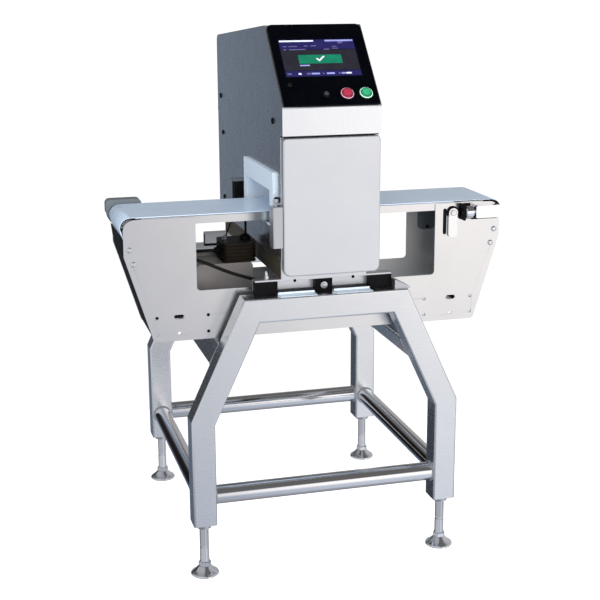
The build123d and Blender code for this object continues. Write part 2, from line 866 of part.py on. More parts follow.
def belt():
    """Endless belt over the bed, down both wings and back under the head."""
    inner = roller_radius + roller_gap
    loop = across_y(belt_face(inner + belt_thick), belt_front_y, belt_back_y)
    return loop - across_y(belt_face(inner), belt_front_y - cut, belt_back_y + cut)


def slider_bed():
    """Bed sheet under the top run, with folded sides."""
    top = belt_top_z - belt_thick - bed_play
    half = end_roller_x - roller_radius - bed_play
    y0, y1 = plate_front_inner, plate_back_inner
    low = top - bed_height
    under = top - bed_thick
    profile = [(y0, low), (y0 + bed_thick, low), (y0 + bed_thick, under), (y1 - bed_thick, under),
               (y1 - bed_thick, low), (y1, low), (y1, top), (y0, top)]
    return across_x(outline(profile), -half, half)


def end_guard():
    """Sheet that closes the left end between the plates, below the belt."""
    y0, y1 = plate_front_inner, plate_back_inner
    run = (wing_half - wing_foot_half) / (wing_kink_z - plate_bottom_z)
    top_x = wing_half - guard_inset
    low_x = top_x - (wing_kink_z - guard_foot_z) * run
    w = guard_thick
    strip = [(-top_x, guard_top_z), (-top_x, wing_kink_z), (-low_x, guard_foot_z), (-low_x + w, guard_foot_z),
             (-top_x + w, wing_kink_z), (-top_x + w, guard_top_z)]
    guard = across_y(outline(strip), y0, y1)
    shift = guard_tab_height * run
    high = wing_kink_z + guard_tab_height / 2
    tab = [(-top_x + w, high), (-top_x + w, wing_kink_z), (-top_x + w + shift / 2, high - guard_tab_height),
           (-top_x + w + shift / 2 + guard_tab / 2, high - guard_tab_height), (-top_x + guard_tab / 2, high)]
    return guard + across_y(outline(tab), y0, y0 + w) + across_y(outline(tab), y1 - w, y1)


def drum(x, z, bore):
    """Roller between the bearings, with a bore or with stub shafts of its own."""
    body = rod_y(roller_radius, x, z, roller_front_y, roller_back_y)
    body = chamfer(body.edges().filter_by(GeomType.CIRCLE), roller_end_gap)
    if bore:
        return body - rod_y(shaft_dia / 2 + fit_gap, x, z, roller_front_y - cut, roller_back_y + cut)
    return body + rod_y(shaft_dia / 2, x, z, plate_front_inner + running_gap, plate_back_inner - running_gap)


def drive_roller():
    """Driven roller at the left end, its shaft running out to the drive pulley."""
    roller = drum(-end_roller_x, end_roller_z, False)
    return roller + rod_y(shaft_dia / 2, -end_roller_x, end_roller_z, roller_back_y, pulley_back_y + cut)


def tail_axle():
    """Fixed axle of the tail roller, held in both take-up blocks."""
    reach = take_up_thick
    return rod_y(shaft_dia / 2, end_roller_x, end_roller_z, conveyor_front_y - reach, conveyor_back_y + reach)


def bearing_units():
    """Round bearing housings on the inner faces of the plates, for the three driven shafts."""
    units = []
    for x, z in (roller_centres()[0], roller_centres()[2], roller_centres()[3]):
        for y0 in (plate_front_inner, plate_back_inner - bearing_thick):
            unit = rod_y(bearing_dia / 2, x, z, y0, y0 + bearing_thick)
            unit = chamfer(unit.edges().filter_by(GeomType.CIRCLE), roller_end_gap)
            units.append(unit - rod_y(shaft_dia / 2 + fit_gap, x, z, y0 - cut, y0 + bearing_thick + cut))
    return units


# Take-up and release lever

def on_both_sides(part):
    """A part on the front plate and its mirror image on the rear plate."""
    middle = (conveyor_front_y + conveyor_back_y) / 2
    return [part, mirror(part, about=Plane(origin=(0, middle, 0), z_dir=(0, 1, 0)))]


def take_up_axis_y():
    """Y of the front tension bolt, far enough out for the nut to turn on its base."""
    return conveyor_front_y - bracket_base - running_gap - nut_dia / 2


def take_up_block():
    """Bright block that carries the axle, with the tension bolt fixed in its end."""
    y0 = conveyor_front_y - running_gap - take_up_thick
    y1 = conveyor_front_y - running_gap
    x0 = take_up_end_x - take_up_length
    half = take_up_height / 2
    block = span_box(x0, take_up_end_x, y0, y1, end_roller_z - half, end_roller_z + half)
    block = fillet(block.edges().filter_by(Axis.Y), take_up_radius)
    block -= rod_y(shaft_dia / 2, end_roller_x, end_roller_z, conveyor_front_y - take_up_thick, y1 + cut)
    return block + rod_x(bolt_dia / 2, take_up_axis_y(), end_roller_z, bracket_start_x, x0)


def tension_nut():
    """Knurled nut on the bolt, bearing on its bracket."""
    x0, x1 = nut_end_x - nut_length, nut_end_x
    nut = rod_x(nut_dia / 2, take_up_axis_y(), end_roller_z, x0, x1)
    nut = chamfer(nut.edges().filter_by(GeomType.CIRCLE), roller_end_gap * 2)
    return nut - rod_x(bolt_dia / 2 + fit_gap, take_up_axis_y(), end_roller_z, x0 - cut, x1 + cut)


def take_up_bracket():
    """Black bracket that the bolt passes through, with a base behind the nut and a ledge below the block."""
    x0, x1 = bracket_start_x, bracket_end_x
    half = bracket_height_z / 2
    y0 = conveyor_front_y - running_gap - take_up_thick
    low, high = end_roller_z - half, end_roller_z + half
    block = span_box(x0, x1, y0, conveyor_front_y - bracket_base, low, high)
    block = fillet(block.edges().filter_by(Axis.Y), bracket_length_x / 3)
    block -= rod_x(bolt_dia / 2 + running_gap, take_up_axis_y(), end_roller_z, x0 - cut, x1 + cut)
    end = x1 + nut_length + nut_play
    base = outline([(x0, low), (end, low), (end, high), (x0, high), (x0 - bracket_tip, end_roller_z)])
    block += across_y(base, conveyor_front_y - bracket_base, conveyor_front_y)
    return block + span_box(end - ledge_gap, take_up_end_x - take_up_travel, conveyor_front_y - ledge_depth,
                            conveyor_front_y, low, end_roller_z - take_up_height / 2 - ledge_gap)


def release_lever():
    """Hanging lever with a round hub on the plate's stud."""
    y0 = conveyor_front_y - lever_stand - lever_thick
    y1 = conveyor_front_y - lever_stand
    hub = rod_y(lever_hub_dia / 2, lever_x, lever_z, y0, y1)
    left, right = lever_x - lever_width / 2, lever_x + lever_width / 2
    low = lever_z - lever_length
    corner = lever_width / 3
    blade = outline([(left, lever_z), (left, low), (right, low), (right, lever_z)], [0, corner, corner, 0])
    lever = hub + across_y(blade, y0 + lever_stand / 2, y1)
    return lever - rod_y(lever_pin_dia / 2 + fit_gap, lever_x, lever_z, y0 - cut, y1 + cut)


# Drive

def gearbox():
    """Right-angle gearbox on its bracket, with the output shaft's bore towards the rear plate."""
    w, d, h = gearbox_size
    left, low = gearbox_left_x, gearbox_low_z
    box = span_box(left, left + w, gearbox_front_y, gearbox_back_y, low, low + h)
    box = fillet(box.edges().filter_by(Axis.Y), gearbox_radius)
    bore = output_shaft_dia / 2 + fit_gap
    return box - rod_y(bore, output_x, output_z, gearbox_back_y - d / 2, gearbox_back_y + cut)


def gear_motor():
    """Flat motor standing on the gearbox, with cooling fins round its body."""
    w, d = motor_size
    low = gearbox_top_z
    back = gearbox_back_y - motor_plate_thick
    body = span_box(motor_left_x, motor_left_x + w, back - d, back, low, motor_top_z)
    body = fillet(body.edges().filter_by(Axis.Z), motor_radius)
    pitch = (motor_top_z - low) / (motor_fins * 2 + 1)
    for row in range(motor_fins):
        z = low + pitch * (row * 2 + 1)
        ring = span_box(motor_left_x - cut, motor_left_x + w + cut, back - d - cut, back + cut, z, z + pitch)
        core = span_box(motor_left_x + fin_depth, motor_left_x + w - fin_depth, back - d + fin_depth,
                        back - fin_depth, z - cut, z + pitch + cut)
        body -= ring - fillet(core.edges().filter_by(Axis.Z), motor_radius - fin_depth)
    return body


def motor_bracket():
    """Plate between the gearbox and the rear side plate."""
    margin = gearbox_radius
    left, right = gearbox_left_x - margin, -half_head - motor_gap / 2
    y0, y1 = gearbox_back_y, plate_back_inner
    plate = span_box(left, right, y0, y1, gearbox_low_z, gearbox_top_z + margin)
    plate = fillet(plate.edges().filter_by(Axis.Y), margin)
    return plate - rod_y(output_shaft_dia / 2 + cut, output_x, output_z, y0 - cut, y1 + cut)


def timing_pulley(x, z, teeth, bore):
    """Toothed pulley behind the rear plate."""
    radius = teeth * tooth_pitch / (2 * pi)
    wheel = Circle(radius)
    groove = Rectangle(tooth_pitch / 2, tooth_depth * 2)
    for step in range(teeth):
        wheel -= Rot(0, 0, 360 * step / teeth) * Pos(0, radius) * groove
    pulley = across_y(Pos(x, z) * wheel, pulley_front_y, pulley_back_y)
    return pulley - rod_y(bore / 2, x, z, pulley_front_y - cut, pulley_back_y + cut)


def drive_pulley():
    """Pulley on the drive roller's shaft."""
    return timing_pulley(-end_roller_x, end_roller_z, pulley_teeth, shaft_dia)


def motor_pulley():
    """Pulley with the gearbox's output shaft."""
    pulley = timing_pulley(output_x, output_z, motor_pulley_teeth, output_shaft_dia / 2)
    shaft_start = gearbox_back_y - gearbox_size[1] / 2 + cut
    return pulley + rod_y(output_shaft_dia / 2, output_x, output_z, shaft_start, pulley_back_y)


def two_centre_face(first, second):
    """Face round two circles of different size, joined by their outer tangents."""
    (x0, z0, r0), (x1, z1, r1) = first, second
    distance = hypot(x1 - x0, z1 - z0)
    heading = atan2(z1 - z0, x1 - x0)
    lean = atan2(r0 - r1, (distance ** 2 - (r0 - r1) ** 2) ** 0.5)
    turn = pi / 2 - lean
    up, down = heading + turn, heading - turn
    corners = [(x0 + r0 * cos(up), z0 + r0 * sin(up)), (x1 + r1 * cos(up), z1 + r1 * sin(up)),
               (x1 + r1 * cos(down), z1 + r1 * sin(down)), (x0 + r0 * cos(down), z0 + r0 * sin(down))]
    return outline(corners) + Pos(x0, z0) * Circle(r0) + Pos(x1, z1) * Circle(r1)


def drive_path(extra):
    """Face round both pulleys, larger by a distance."""
    return two_centre_face((-end_roller_x, end_roller_z, pulley_radius + extra),
                           (output_x, output_z, motor_pulley_radius + extra))


def timing_belt():
    """Endless timing belt round both pulleys."""
    loop = across_y(drive_path(timing_gap + timing_thick), pulley_front_y, pulley_back_y)
    return loop - across_y(drive_path(timing_gap), pulley_front_y - cut, pulley_back_y + cut)


def cover_face(inset):
    """Outline of the cover: round both pulleys, with a flat top over the drive roller's end."""
    left, right = -end_roller_x - cover_left + inset, -end_roller_x + cover_right - inset
    low, high = end_roller_z + cover_low + inset, end_roller_z + cover_high - inset
    corners = [(left, low), (right, low), (right, high), (left, high)]
    reach = timing_gap + timing_thick + cover_gap + cover_wall - inset
    return drive_path(reach) + outline(corners, cover_corner - inset)


def drive_cover():
    """Closed cover over the timing drive, on the back of the rear plate, with two shaft holes."""
    y0, y1 = conveyor_back_y, conveyor_back_y + cover_depth
    cover = across_y(cover_face(0), y0, y1)
    cover = chamfer(cover.faces().sort_by(Axis.Y)[-1].edges(), cover_wall / 2)
    cover -= across_y(cover_face(cover_wall), y0 + cover_wall, y1 - cover_wall)
    for x, z, dia in drive_shafts():
        cover -= rod_y(dia / 2 + cut, x, z, y0 - cut, y0 + cover_wall + cut)
    return cover


def cable_gland():
    """Hexagonal gland with a round cap, pointing up from its seat at the origin."""
    gland = extrude(RegularPolygon(gland_flats / 2, 6, major_radius=False), amount=gland_nut)
    cap = Pos(0, 0, gland_nut + gland_cap / 2) * Cylinder(gland_cap_dia / 2, gland_cap)
    return gland + chamfer(cap.edges().sort_by(Axis.Z)[-1], gland_cap / 3)


def motor_lead_place():
    """Middle of the motor's left side, where its lead comes out."""
    y = gearbox_back_y - motor_plate_thick - motor_size[1] / 2
    z = (motor_top_z + gearbox_top_z) / 2
    return motor_left_x, y, z


def cable_glands():
    """Glands on the motor's left side, under the head, and on its back for the supply lead."""
    motor_gland = Pos(*motor_lead_place()) * Rot(0, -90, 0) * cable_gland()
    head_gland = Pos(head_gland_x, head_gland_y, head_bottom_z) * Rot(180, 0, 0) * cable_gland()
    mains_gland = Pos(0, head_back_y, head_bottom_z + mains_gland_rise) * Rot(-90, 0, 0) * cable_gland()
    return [motor_gland, head_gland, mains_gland]


def motor_cable():
    """Motor lead: a loop behind the left wing, then past the gearbox to the gland under the head."""
    x, y, z = motor_lead_place()
    reach = gland_nut + gland_cap
    route = [(x - reach, y, z), (x - 50, y, z), (x - 76, y - 6, z + 1), (x - 98, y - 21, z + 4),
             (x - 111, y - 44, z + 7), (x - 109, y - 70, z + 8), (x - 93, y - 89, z + 7),
             (x - 69, y - 97, z + 3), (x - 42, y - 98, z - 8), (x - 14, y - 97, z - 22),
             (x + 14, y - 95, z - 34), (x + 43, y - 93, z - 44), (x + 72, y - 92, z - 53),
             (x + 101, y - 93, z - 62), (x + 129, y - 94, z - 67), (x + 153, y - 95, z - 65),
             (x + 174, y - 95, z - 57), (head_gland_x, head_gland_y, z - 42),
             (head_gland_x, head_gland_y, head_bottom_z - reach)]
    runs = [hypot(*(b - a for a, b in zip(p, q))) for p, q in zip(route, route[1:])]
    radii = []
    for row in range(1, len(route) - 1):
        first = Vector(*route[row]) - Vector(*route[row - 1])
        second = Vector(*route[row + 1]) - Vector(*route[row])
        turn = radians(first.get_angle(second))
        radii.append(cable_arc_share * min(runs[row - 1], runs[row]) / tan(turn / 2))
    path = FilletPolyline(*route, radius=radii)
    tube = sweep(Plane(origin=route[0], z_dir=path % 0) * Circle(cable_dia / 2), path=path)
    print("cable radii", [round(r) for r in radii], "length", round(path.length),
          "volume share", round(tube.volume / (path.length * pi * cable_dia ** 2 / 4), 4))
    return tube


def build():
    """Every sub-part by name."""
    parts = {
        "front_frame": leg_frame(-half_depth),
        "rear_frame": leg_frame(half_depth - tube),
        "front_rail": round_rail(rod_x, -leg_y, half_stand - tube),
        "rear_rail": round_rail(rod_x, leg_y, half_stand - tube),
        "side_rails": [round_rail(rod_y, side * leg_x, half_depth - tube) for side in (-1, 1)],
        "side_tubes": [side_tube(), mirror_x(side_tube())],
        "leg_bushes": [leg_bush(sx * leg_x, sy * leg_y) for sx in (-1, 1) for sy in (-1, 1)],
        "insulating_blocks": insulating_blocks(),
        "base_frame": base_frame(),
        "base_rails": base_rails(),
        "lower_case": lower_case(),
        "front_door": front_door(),
        "upper_case": upper_case(),
        "case_gasket": case_gasket(),
        "control_panel": control_panel(),
        "display": display(),
        "button_bezels": button_bezels(),
        "stop_button": push_button(stop_x, cap_dia),
        "start_button": push_button(start_x, cap_dia),
        "reset_button": push_button(reset_x, reset_cap_dia),
        "status_lamp": status_lamp(),
        "tunnel_liner": tunnel_liner(),
        "tunnel_flange_left": tunnel_flange(),
        "tunnel_flange_right": mirror_x(tunnel_flange()),
        "coil_core": coil_core(),
        "coil_windings": coil_windings(),
        "electronics": [power_supply(), control_board()],
        "infeed_sensor_box": infeed_sensor_box(),
        "rear_sensor_bracket": rear_sensor_bracket(),
        "rear_sensor": rear_sensor(),
        "front_side_plate": front_side_plate(),
        "rear_side_plate": rear_side_plate(),
        "cross_members": cross_members(),
        "slider_bed": slider_bed(),
        "belt": belt(),
        "end_guards": [end_guard(), mirror_x(end_guard())],
        "drive_roller": drive_roller(),
        "tail_roller": drum(end_roller_x, end_roller_z, True),
        "tail_axle": tail_axle(),
        "left_corner_roller": drum(-corner_roller_x, corner_roller_z, False),
        "right_corner_roller": drum(corner_roller_x, corner_roller_z, False),
        "bearing_units": bearing_units(),
        "take_up_blocks": on_both_sides(take_up_block()),
        "take_up_brackets": on_both_sides(take_up_bracket()),
        "front_tension_nut": on_both_sides(tension_nut())[0],
        "rear_tension_nut": on_both_sides(tension_nut())[1],
        "release_lever": release_lever(),
        "gearbox": gearbox(),
        "gear_motor": gear_motor(),
        "motor_bracket": motor_bracket(),
        "drive_pulley": drive_pulley(),
        "motor_pulley": motor_pulley(),
        "timing_belt": timing_belt(),
        "drive_cover": drive_cover(),
        "cable_glands": cable_glands(),
        "motor_cable": motor_cable(),
    }
    for sy, depth in ((-1, "front"), (1, "rear")):
        for sx, hand in ((-1, "left"), (1, "right")):
            parts[f"foot_{depth}_{hand}"] = levelling_foot(sx * leg_x, sy * leg_y)
    return parts


def main():
    os.makedirs("parts", exist_ok=True)
    datum = Pos(-datum_x, -datum_y, 0)
    for name, part in build().items():
        pieces = part if isinstance(part, list) else [part]
        solids = [datum * solid for piece in pieces for solid in piece.solids()]
        shape = solids[0] if len(solids) == 1 else Compound(children=solids)
        export_step(shape, f"parts/{name}.step")
    print("origin offset", datum_x, datum_y)


main()
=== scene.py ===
"""Looks of a conveyor metal detector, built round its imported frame."""

import math

import bmesh
import bpy
from mathutils import Matrix, Vector


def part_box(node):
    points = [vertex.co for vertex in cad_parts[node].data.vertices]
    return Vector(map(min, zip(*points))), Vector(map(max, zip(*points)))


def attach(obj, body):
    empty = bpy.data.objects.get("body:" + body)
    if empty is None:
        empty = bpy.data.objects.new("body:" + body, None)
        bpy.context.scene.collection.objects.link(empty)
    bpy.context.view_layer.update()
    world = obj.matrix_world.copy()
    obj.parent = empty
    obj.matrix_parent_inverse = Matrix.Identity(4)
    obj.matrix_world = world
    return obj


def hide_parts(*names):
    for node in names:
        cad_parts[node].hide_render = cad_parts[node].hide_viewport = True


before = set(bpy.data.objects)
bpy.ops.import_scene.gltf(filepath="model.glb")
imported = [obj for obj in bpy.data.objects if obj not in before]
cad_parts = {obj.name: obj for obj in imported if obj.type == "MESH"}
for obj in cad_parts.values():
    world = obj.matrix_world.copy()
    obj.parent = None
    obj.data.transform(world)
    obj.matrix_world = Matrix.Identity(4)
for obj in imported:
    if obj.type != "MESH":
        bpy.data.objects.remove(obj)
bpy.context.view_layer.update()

MM = 0.001
MACHINE = "machine"
IMAGE_SIZE = 600
SENSOR_WIDTH = 36.0
SMOOTH_ANGLE = 35

# Camera: place from the middle of the stand in millimetres, angles in degrees
CAMERA_PLACE = (-712.73, -2696.59, 1225.18)
CAMERA_AZIMUTH = 15.26
CAMERA_PITCH = 14.26
CAMERA_ROLL = -0.30
CAMERA_FOCAL_PIXELS = 1248.73

# Sloped face: its rise over its run
PANEL_ANGLE = math.atan2(153, 143)

# Edges broken in the render, in millimetres and degrees
EDGE_BEVEL = 0.7
PLATE_BEVEL = 0.4
BEVEL_ANGLE = 40
WELD_DISTANCE = 0.00001

# Levelling feet, in millimetres: heights over the floor, and radii less than the pad's or of their own
FOOT_RIM = ((0.2, 5), (0, 4), (0, 2), (1.5, 0.3), (3.5, 0), (5.2, 0.8))
FOOT_CONE_LOW, FOOT_CONE_RISE = 6.2, 13.3
FOOT_CONE_SET, FOOT_CONE_NECK = 2.5, 15.5
FOOT_CONE_SHARES = (0.0, 0.2, 0.4, 0.6, 0.8, 1.0)
FOOT_CONE_CURVE = 0.8
FOOT_COLLAR = ((20, 12.4, 0), (20.6, 11.4, 0), (21, 11.9, 6), (29, 11.9, 6), (30, 11.0, 0), (30, 10.0, 0))
FOOT_SHANK = 10.0
FOOT_CORE = 8.6
FOOT_TIP, FOOT_CHAMFER = 7.4, 1.5
FOOT_SIDES = 48
FOOT_THREAD_LOW = 62
THREAD_MARGINS = (2, 3)
THREAD_RADIUS = 9.9
THREAD_PITCH = 2.5
THREAD_DEPTH = 1.2
THREAD_ROOT_SINK = 0.3
THREAD_HALF_SHARE = 0.46
THREAD_CREST_SHARE = 0.25
THREAD_STEPS = 28

# Welds, in millimetres
WELD_RADIUS = 2.2
WELD_RIPPLE = 2.4
WELD_RIPPLE_SHARE = 0.14
RIPPLE_POINTS = 3
WELD_INSET = 0.4
WELD_STAND_OFF = 0.6
WELD_SIDES = 8

# Screws and caps, in millimetres: places on the plates as (x, z) and on the head's sides as (y, z)
DOME_RADIUS, DOME_HEIGHT = 6.0, 4.0
GUARD_SCREWS = ((396, 705), (389, 675))
CASE_CAPS = ((247, 966, 5.8), (-258, 957, 6.5), (228, 881, 5.2), (226, 727, 5.2))
CASE_CAP_HEIGHT = 3.0
CASE_PLUG = (-292, 802)
CASE_PLUG_RADIUS, CASE_PLUG_HEIGHT = 6.5, 8.0
SEAM_LAP, SEAM_THICK = 2.0, 0.3

# Fittings on the beams, in millimetres from the stand's middle
BLOCK_BOLT_FLATS, BLOCK_BOLT_HEIGHT, BLOCK_BOLT_WASHER = 8.5, 3.0, 1.0
BASE_SCREW_X, BASE_SCREW_Z = 63, 629.5
BASE_SCREW_RADIUS, BASE_SCREW_HEIGHT = 3.2, 1.5
# Pale strips lying on the beam tops and standing at their edges: painted reflection of light on the polished
# beams, laid over the shade there
PAINTED_SHEEN_X = (21, 99)
PAINTED_SHEEN_Y, PAINTED_SHEEN_Z = (277, 302), (602.1, 602.9)
PAINTED_RISE_Y, PAINTED_RISE_Z = (275.4, 277), (602.1, 606.6)
STUD_PLACE = (-120, -262, 634)
STUD_RINGS = ((0, 6.5, 0), (1, 6.5, 0), (1, 5.0, 6), (6, 5.0, 6), (6.5, 3.6, 0), (15, 3.6, 0), (17, 2.4, 0))
WEDGE_OUTLINE = ((148.5, 602.2), (184, 602.2), (182, 605), (151, 621), (148.5, 621))
WEDGE_Y = (-296, -262)

# Fittings in and on the side plates, in millimetres: rounded shapes as x, x, z, z and radius
PLATE_PLUGS = ((237.5, 559.5), (237.5, 524.5), (345.0, 559.5))
PLUG_RADIUS, PLUG_HEIGHT, PLUG_SINK = 3.3, 1.4, 1.6
SLOT_BACKING = (-309.7, -289.3, 556.3, 564.7, 4.116)
SLOT_BACKING_SINKS = (1.2, 2.0)
# Black rounded sheet on the front plate beside the lever: painted shade of a slot's dark inside
LATCH_SHADE, LATCH_SHADE_Y = (278.2, 285.6, 699.4, 754.6, 3.6), (-233.2, -232.4)
LEVER_PAD, LEVER_PAD_Y = (285.2, 312.6, 732, 760, 13.6), (-235.7, -234.1)
BRACKET, BRACKET_Y = (286, 329, 677, 751, 11), (-60.2, -57.2)
BRACKET_SCREW = (310, -60.2, 683)
BRACKET_SCREW_RADIUS, BRACKET_SCREW_HEIGHT = 4, 2

# Ends of the belt, in millimetres from the stand's middle, and in degrees from the top outwards
END_ROLLER_X, END_ROLLER_Z = 391, 747.7
# Black strips along the belt's front edge at both ends: painted shadow of the gap between belt and front
# plate
GAP_SHADOW_RADII = (21.3, 13)
GAP_SHADOW_START = {"left": -381, "right": 303}
GAP_SHADOW_ANGLES = {"left": range(0, 101, 10), "right": range(0, 91, 10)}
GAP_SHADOW_Y = (-230.6, -229.2)
END_RING_RADIUS, END_RING_THICK, END_RING_Y = 18.6, 0.8, -230.8
END_RING_ANGLES = range(-2, 83, 7)
GUARD_LIP = ((-408.4, 706), (-411.6, 730), (-410.4, 730.2), (-407.2, 706.2))
GUARD_LIP_Y = (-229, -59)

# Hangers of the gear motor, in millimetres from the stand's middle
HANGER_ROUTE, HANGER_RADIUS = ((-150, -105, 751), (-173, -105, 692)), 1.7
FITTING_PLACE = (-173, -105, 687.8)
FITTING_RINGS = ((0, 6.5, 0), (4, 6.5, 0), (5, 4.2, 0), (10, 4.2, 6), (11, 3, 0))
ROD_ROUTE, ROD_RADIUS = ((-127, -105, 751), (-127, -105, 690)), 2.6
BOOT_PLACE = (-129, -105, 687.8)
BOOT_RINGS = ((0, 11, 0), (2, 12, 0), (8, 11, 0), (11, 7, 0), (12, 4, 0))

# Screen, in millimetres: x from its middle, height from its lower edge
SCREEN_RIM, SCREEN_GAP = 2, 1
TOP_BAND, FOOT_BAND = 25, 14
BAR_HEIGHT, BAR_INSET = 4, 1
BAR_LEFT_END, BAR_RIGHT_START = -6, 18
TAB_X, TAB_DROP = (44, 54), 10
FIELD_ROUND, BAR_ROUND, MARK_ROUND, STATUS_ROUND = 0.6, 0.8, 0.5, 1.5
FIELD_THICK, BAR_THICK, TICK_THICK = 0.06, 0.12, 0.24
MARK_HEIGHT = 2.2
SCREEN_MARKS = ((-72, -64, 77), (-60, -42, 77), (-28, -20, 78), (-14, -2, 78), (-72, -66, 69),
                (-60, -26, 69), (30, 40, 76), (30, 42, 71), (12, 24, 69))
STATUS_BOX = (-45, 45, 34, 56)
TICK = ((-9, 46), (-2.5, 39), (10, 51), (7.5, 53.5), (-2.5, 44), (-6.5, 48.5))
UNDER_BAR = (-45, -25, 28, 31)
KEYS_LOW, KEYS_HIGH = 6.5, 10.5
SCREEN_KEYS = ((-75, -66, "dim"), (-52, -46, "white"), (-35, -26, "dim"), (-25, -8, "lavender"),
               (-2, 1, "dim"), (6, 23, "lavender"), (31, 35, "dim"), (37, 46, "lavender"), (47, 58, "white"))

# Rings of the red and the green button, in millimetres
BEZEL_REACH = 16
RING_RADIUS, RING_THICK = 12.3, 1.2
RIM_RADIUS, RIM_THICK = 9.6, 0.9
RING_STEPS = 64
BUTTON_RINGS = {"stop": ("pink_ring", "red_rim", "red_cap"), "start": ("mint_ring", "green_rim", "green_cap")}

# Studio in reflections: colours by how far a direction points right, back and up
BLACK, WHITE = (0, 0, 0), (1, 1, 1)
WORLD_STRENGTH = 1.9
BACKDROP_STRENGTH = 1.05
WORLD_SIDE = ((-0.45, (0.02, 0.015, 0.01)), (-0.36, (0.03, 0.02, 0.012)), (-0.31, (0.04, 0.045, 0.065)),
              (-0.265, (0.17, 0.22, 0.29)), (-0.21, (0.36, 0.46, 0.62)), (-0.15, (0.56, 0.66, 0.82)),
              (0.0, (0.39, 0.42, 0.47)), (0.12, (0.33, 0.33, 0.35)), (0.17, (0.45, 0.45, 0.47)),
              (0.25, (0.66, 0.65, 0.655)), (0.32, (0.74, 0.72, 0.71)), (0.38, (0.77, 0.75, 0.735)),
              (0.45, (0.74, 0.73, 0.72)))
WORLD_DEPTH = ((-0.3, WHITE), (0.3, (0.3, 0.3, 0.3)))
WORLD_HEIGHT = ((-0.5, (0.46, 0.52, 0.60)), (-0.37, (0.58, 0.63, 0.71)), (-0.26, (0.78, 0.76, 0.75)),
                (-0.17, (0.88, 0.87, 0.87)), (-0.09, WHITE), (0.3, WHITE))
WORLD_ABOVE = (0.075, 0.074, 0.072)
WORLD_BELOW = (0.2, 0.2, 0.21)
ABOVE_EDGE = ((0.28, BLACK), (0.46, WHITE))
BELOW_EDGE = ((-0.99, WHITE), (-0.84, BLACK))
# Rest of the studio, for faces turned other ways: colours by height and depth, and where it takes over
ROUND_HEIGHT = ((-1.0, (0.10, 0.10, 0.11)), (-0.5, (0.30, 0.31, 0.33)), (-0.1, (0.40, 0.41, 0.43)),
                (0.3, (0.40, 0.41, 0.43)), (1.0, (0.22, 0.23, 0.25)))
ROUND_DEPTH = ((-1.0, WHITE), (1.0, (0.6, 0.6, 0.6)))
SIDE_REACH = ((-0.72, BLACK), (-0.58, WHITE), (0.5, WHITE), (0.72, BLACK))
RIGHT_EDGE = ((-0.12, BLACK), (-0.04, WHITE))
BACK_EDGE = ((0.15, BLACK), (0.45, WHITE))

# Lamps in metres and watts: place, size, power and colour
LAMP_TARGET = Vector((0, 0, 0.6))
LAMPS = {
    "key": ((-0.8, -2.6, 3.4), 2.4, 42, WHITE),
    "front": ((0.4, -3.2, 1.0), 2.0, 85, (0.96, 0.98, 1.0)),
    "fill": ((2.8, -1.4, 1.8), 2.2, 20, WHITE),
    "left": ((-2.8, -1.2, 1.6), 2.0, 32, (0.90, 0.95, 1.0)),
    "back": ((0.4, 2.8, 3.0), 2.4, 30, WHITE),
}

# Floor, in metres
FLOOR_RADIUS, FLOOR_SIDES = 0.85, 64
FLOOR_DARK, FLOOR_LIGHT = (0.86, 0.865, 0.87), (0.88, 0.885, 0.89)
FLOOR_GLOW, FLOOR_ROUGHNESS = 0.7, 0.7
FLOOR_NOISE = 1.5

SIDES = {"left": -1, "right": 1}
ENDS = {"front": -1, "rear": 1}
# Black plastic: material and slot
MOULDED = ("black", "black_plastic")
X_AXIS, Y_AXIS, Z_AXIS = Vector((1, 0, 0)), Vector((0, 1, 0)), Vector((0, 0, 1))


# Places taken from the frame

def middle(node):
    """Middle of a node's box."""
    low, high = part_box(node)
    return (low + high) / 2


def stand_centre():
    """Middle of the stand on the floor, from the boxes of its two frames."""
    front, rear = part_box("front_frame"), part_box("rear_frame")
    return Vector(((front[0].x + front[1].x) / 2, (front[0].y + rear[1].y) / 2, 0.0))


def stand_point(x, y, z):
    """A point given in millimetres from the middle of the stand."""
    return stand_centre() + Vector((x, y, z)) * MM


# Node trees

def add(tree, kind, **values):
    """A node with its inputs set by name, and its properties by lower-case name."""
    node = tree.nodes.new(kind)
    for name, value in values.items():
        if name in node.inputs:
            node.inputs[name].default_value = value
        elif name.replace("_", " ") in node.inputs:
            node.inputs[name.replace("_", " ")].default_value = value
        else:
            setattr(node, name, value)
    return node


def ramp(tree, source, stops):
    """A colour ramp fed by a factor, with stops of (position, colour)."""
    node = tree.nodes.new("ShaderNodeValToRGB")
    while len(node.color_ramp.elements) < len(stops):
        node.color_ramp.elements.new(0.5)
    for element, (position, colour) in zip(node.color_ramp.elements, stops):
        element.position = position
        element.color = (*colour, 1.0)
    tree.links.new(source, node.inputs["Fac"])
    return node.outputs["Color"]


def grey(value):
    """A grey of one value."""
    return (value, value, value)


def place_coordinates(tree, stretch):
    """Object coordinates, scaled by an amount along each axis."""
    coords = tree.nodes.new("ShaderNodeTexCoord")
    mapping = add(tree, "ShaderNodeMapping")
    mapping.inputs["Scale"].default_value = stretch
    tree.links.new(coords.outputs["Object"], mapping.inputs["Vector"])
    return mapping.outputs["Vector"]


def noise(tree, stretch, scale, detail=3.0, roughness=0.55):
    """Noise over stretched object coordinates."""
    node = add(tree, "ShaderNodeTexNoise", Scale=scale, Detail=detail, Roughness=roughness)
    tree.links.new(place_coordinates(tree, stretch), node.inputs["Vector"])
    return node.outputs["Fac"]


def bump(tree, shader, height, strength, distance):
    """Bump from a height, joined to the shader."""
    node = add(tree, "ShaderNodeBump", Strength=strength, Distance=distance)
    tree.links.new(height, node.inputs["Height"])
    tree.links.new(node.outputs["Normal"], shader.inputs["Normal"])


def material(name):
    """An empty material with its tree and its shader."""
    mat = bpy.data.materials.new(name)
    mat.use_nodes = True
    tree = mat.node_tree
    return mat, tree, tree.nodes["Principled BSDF"]


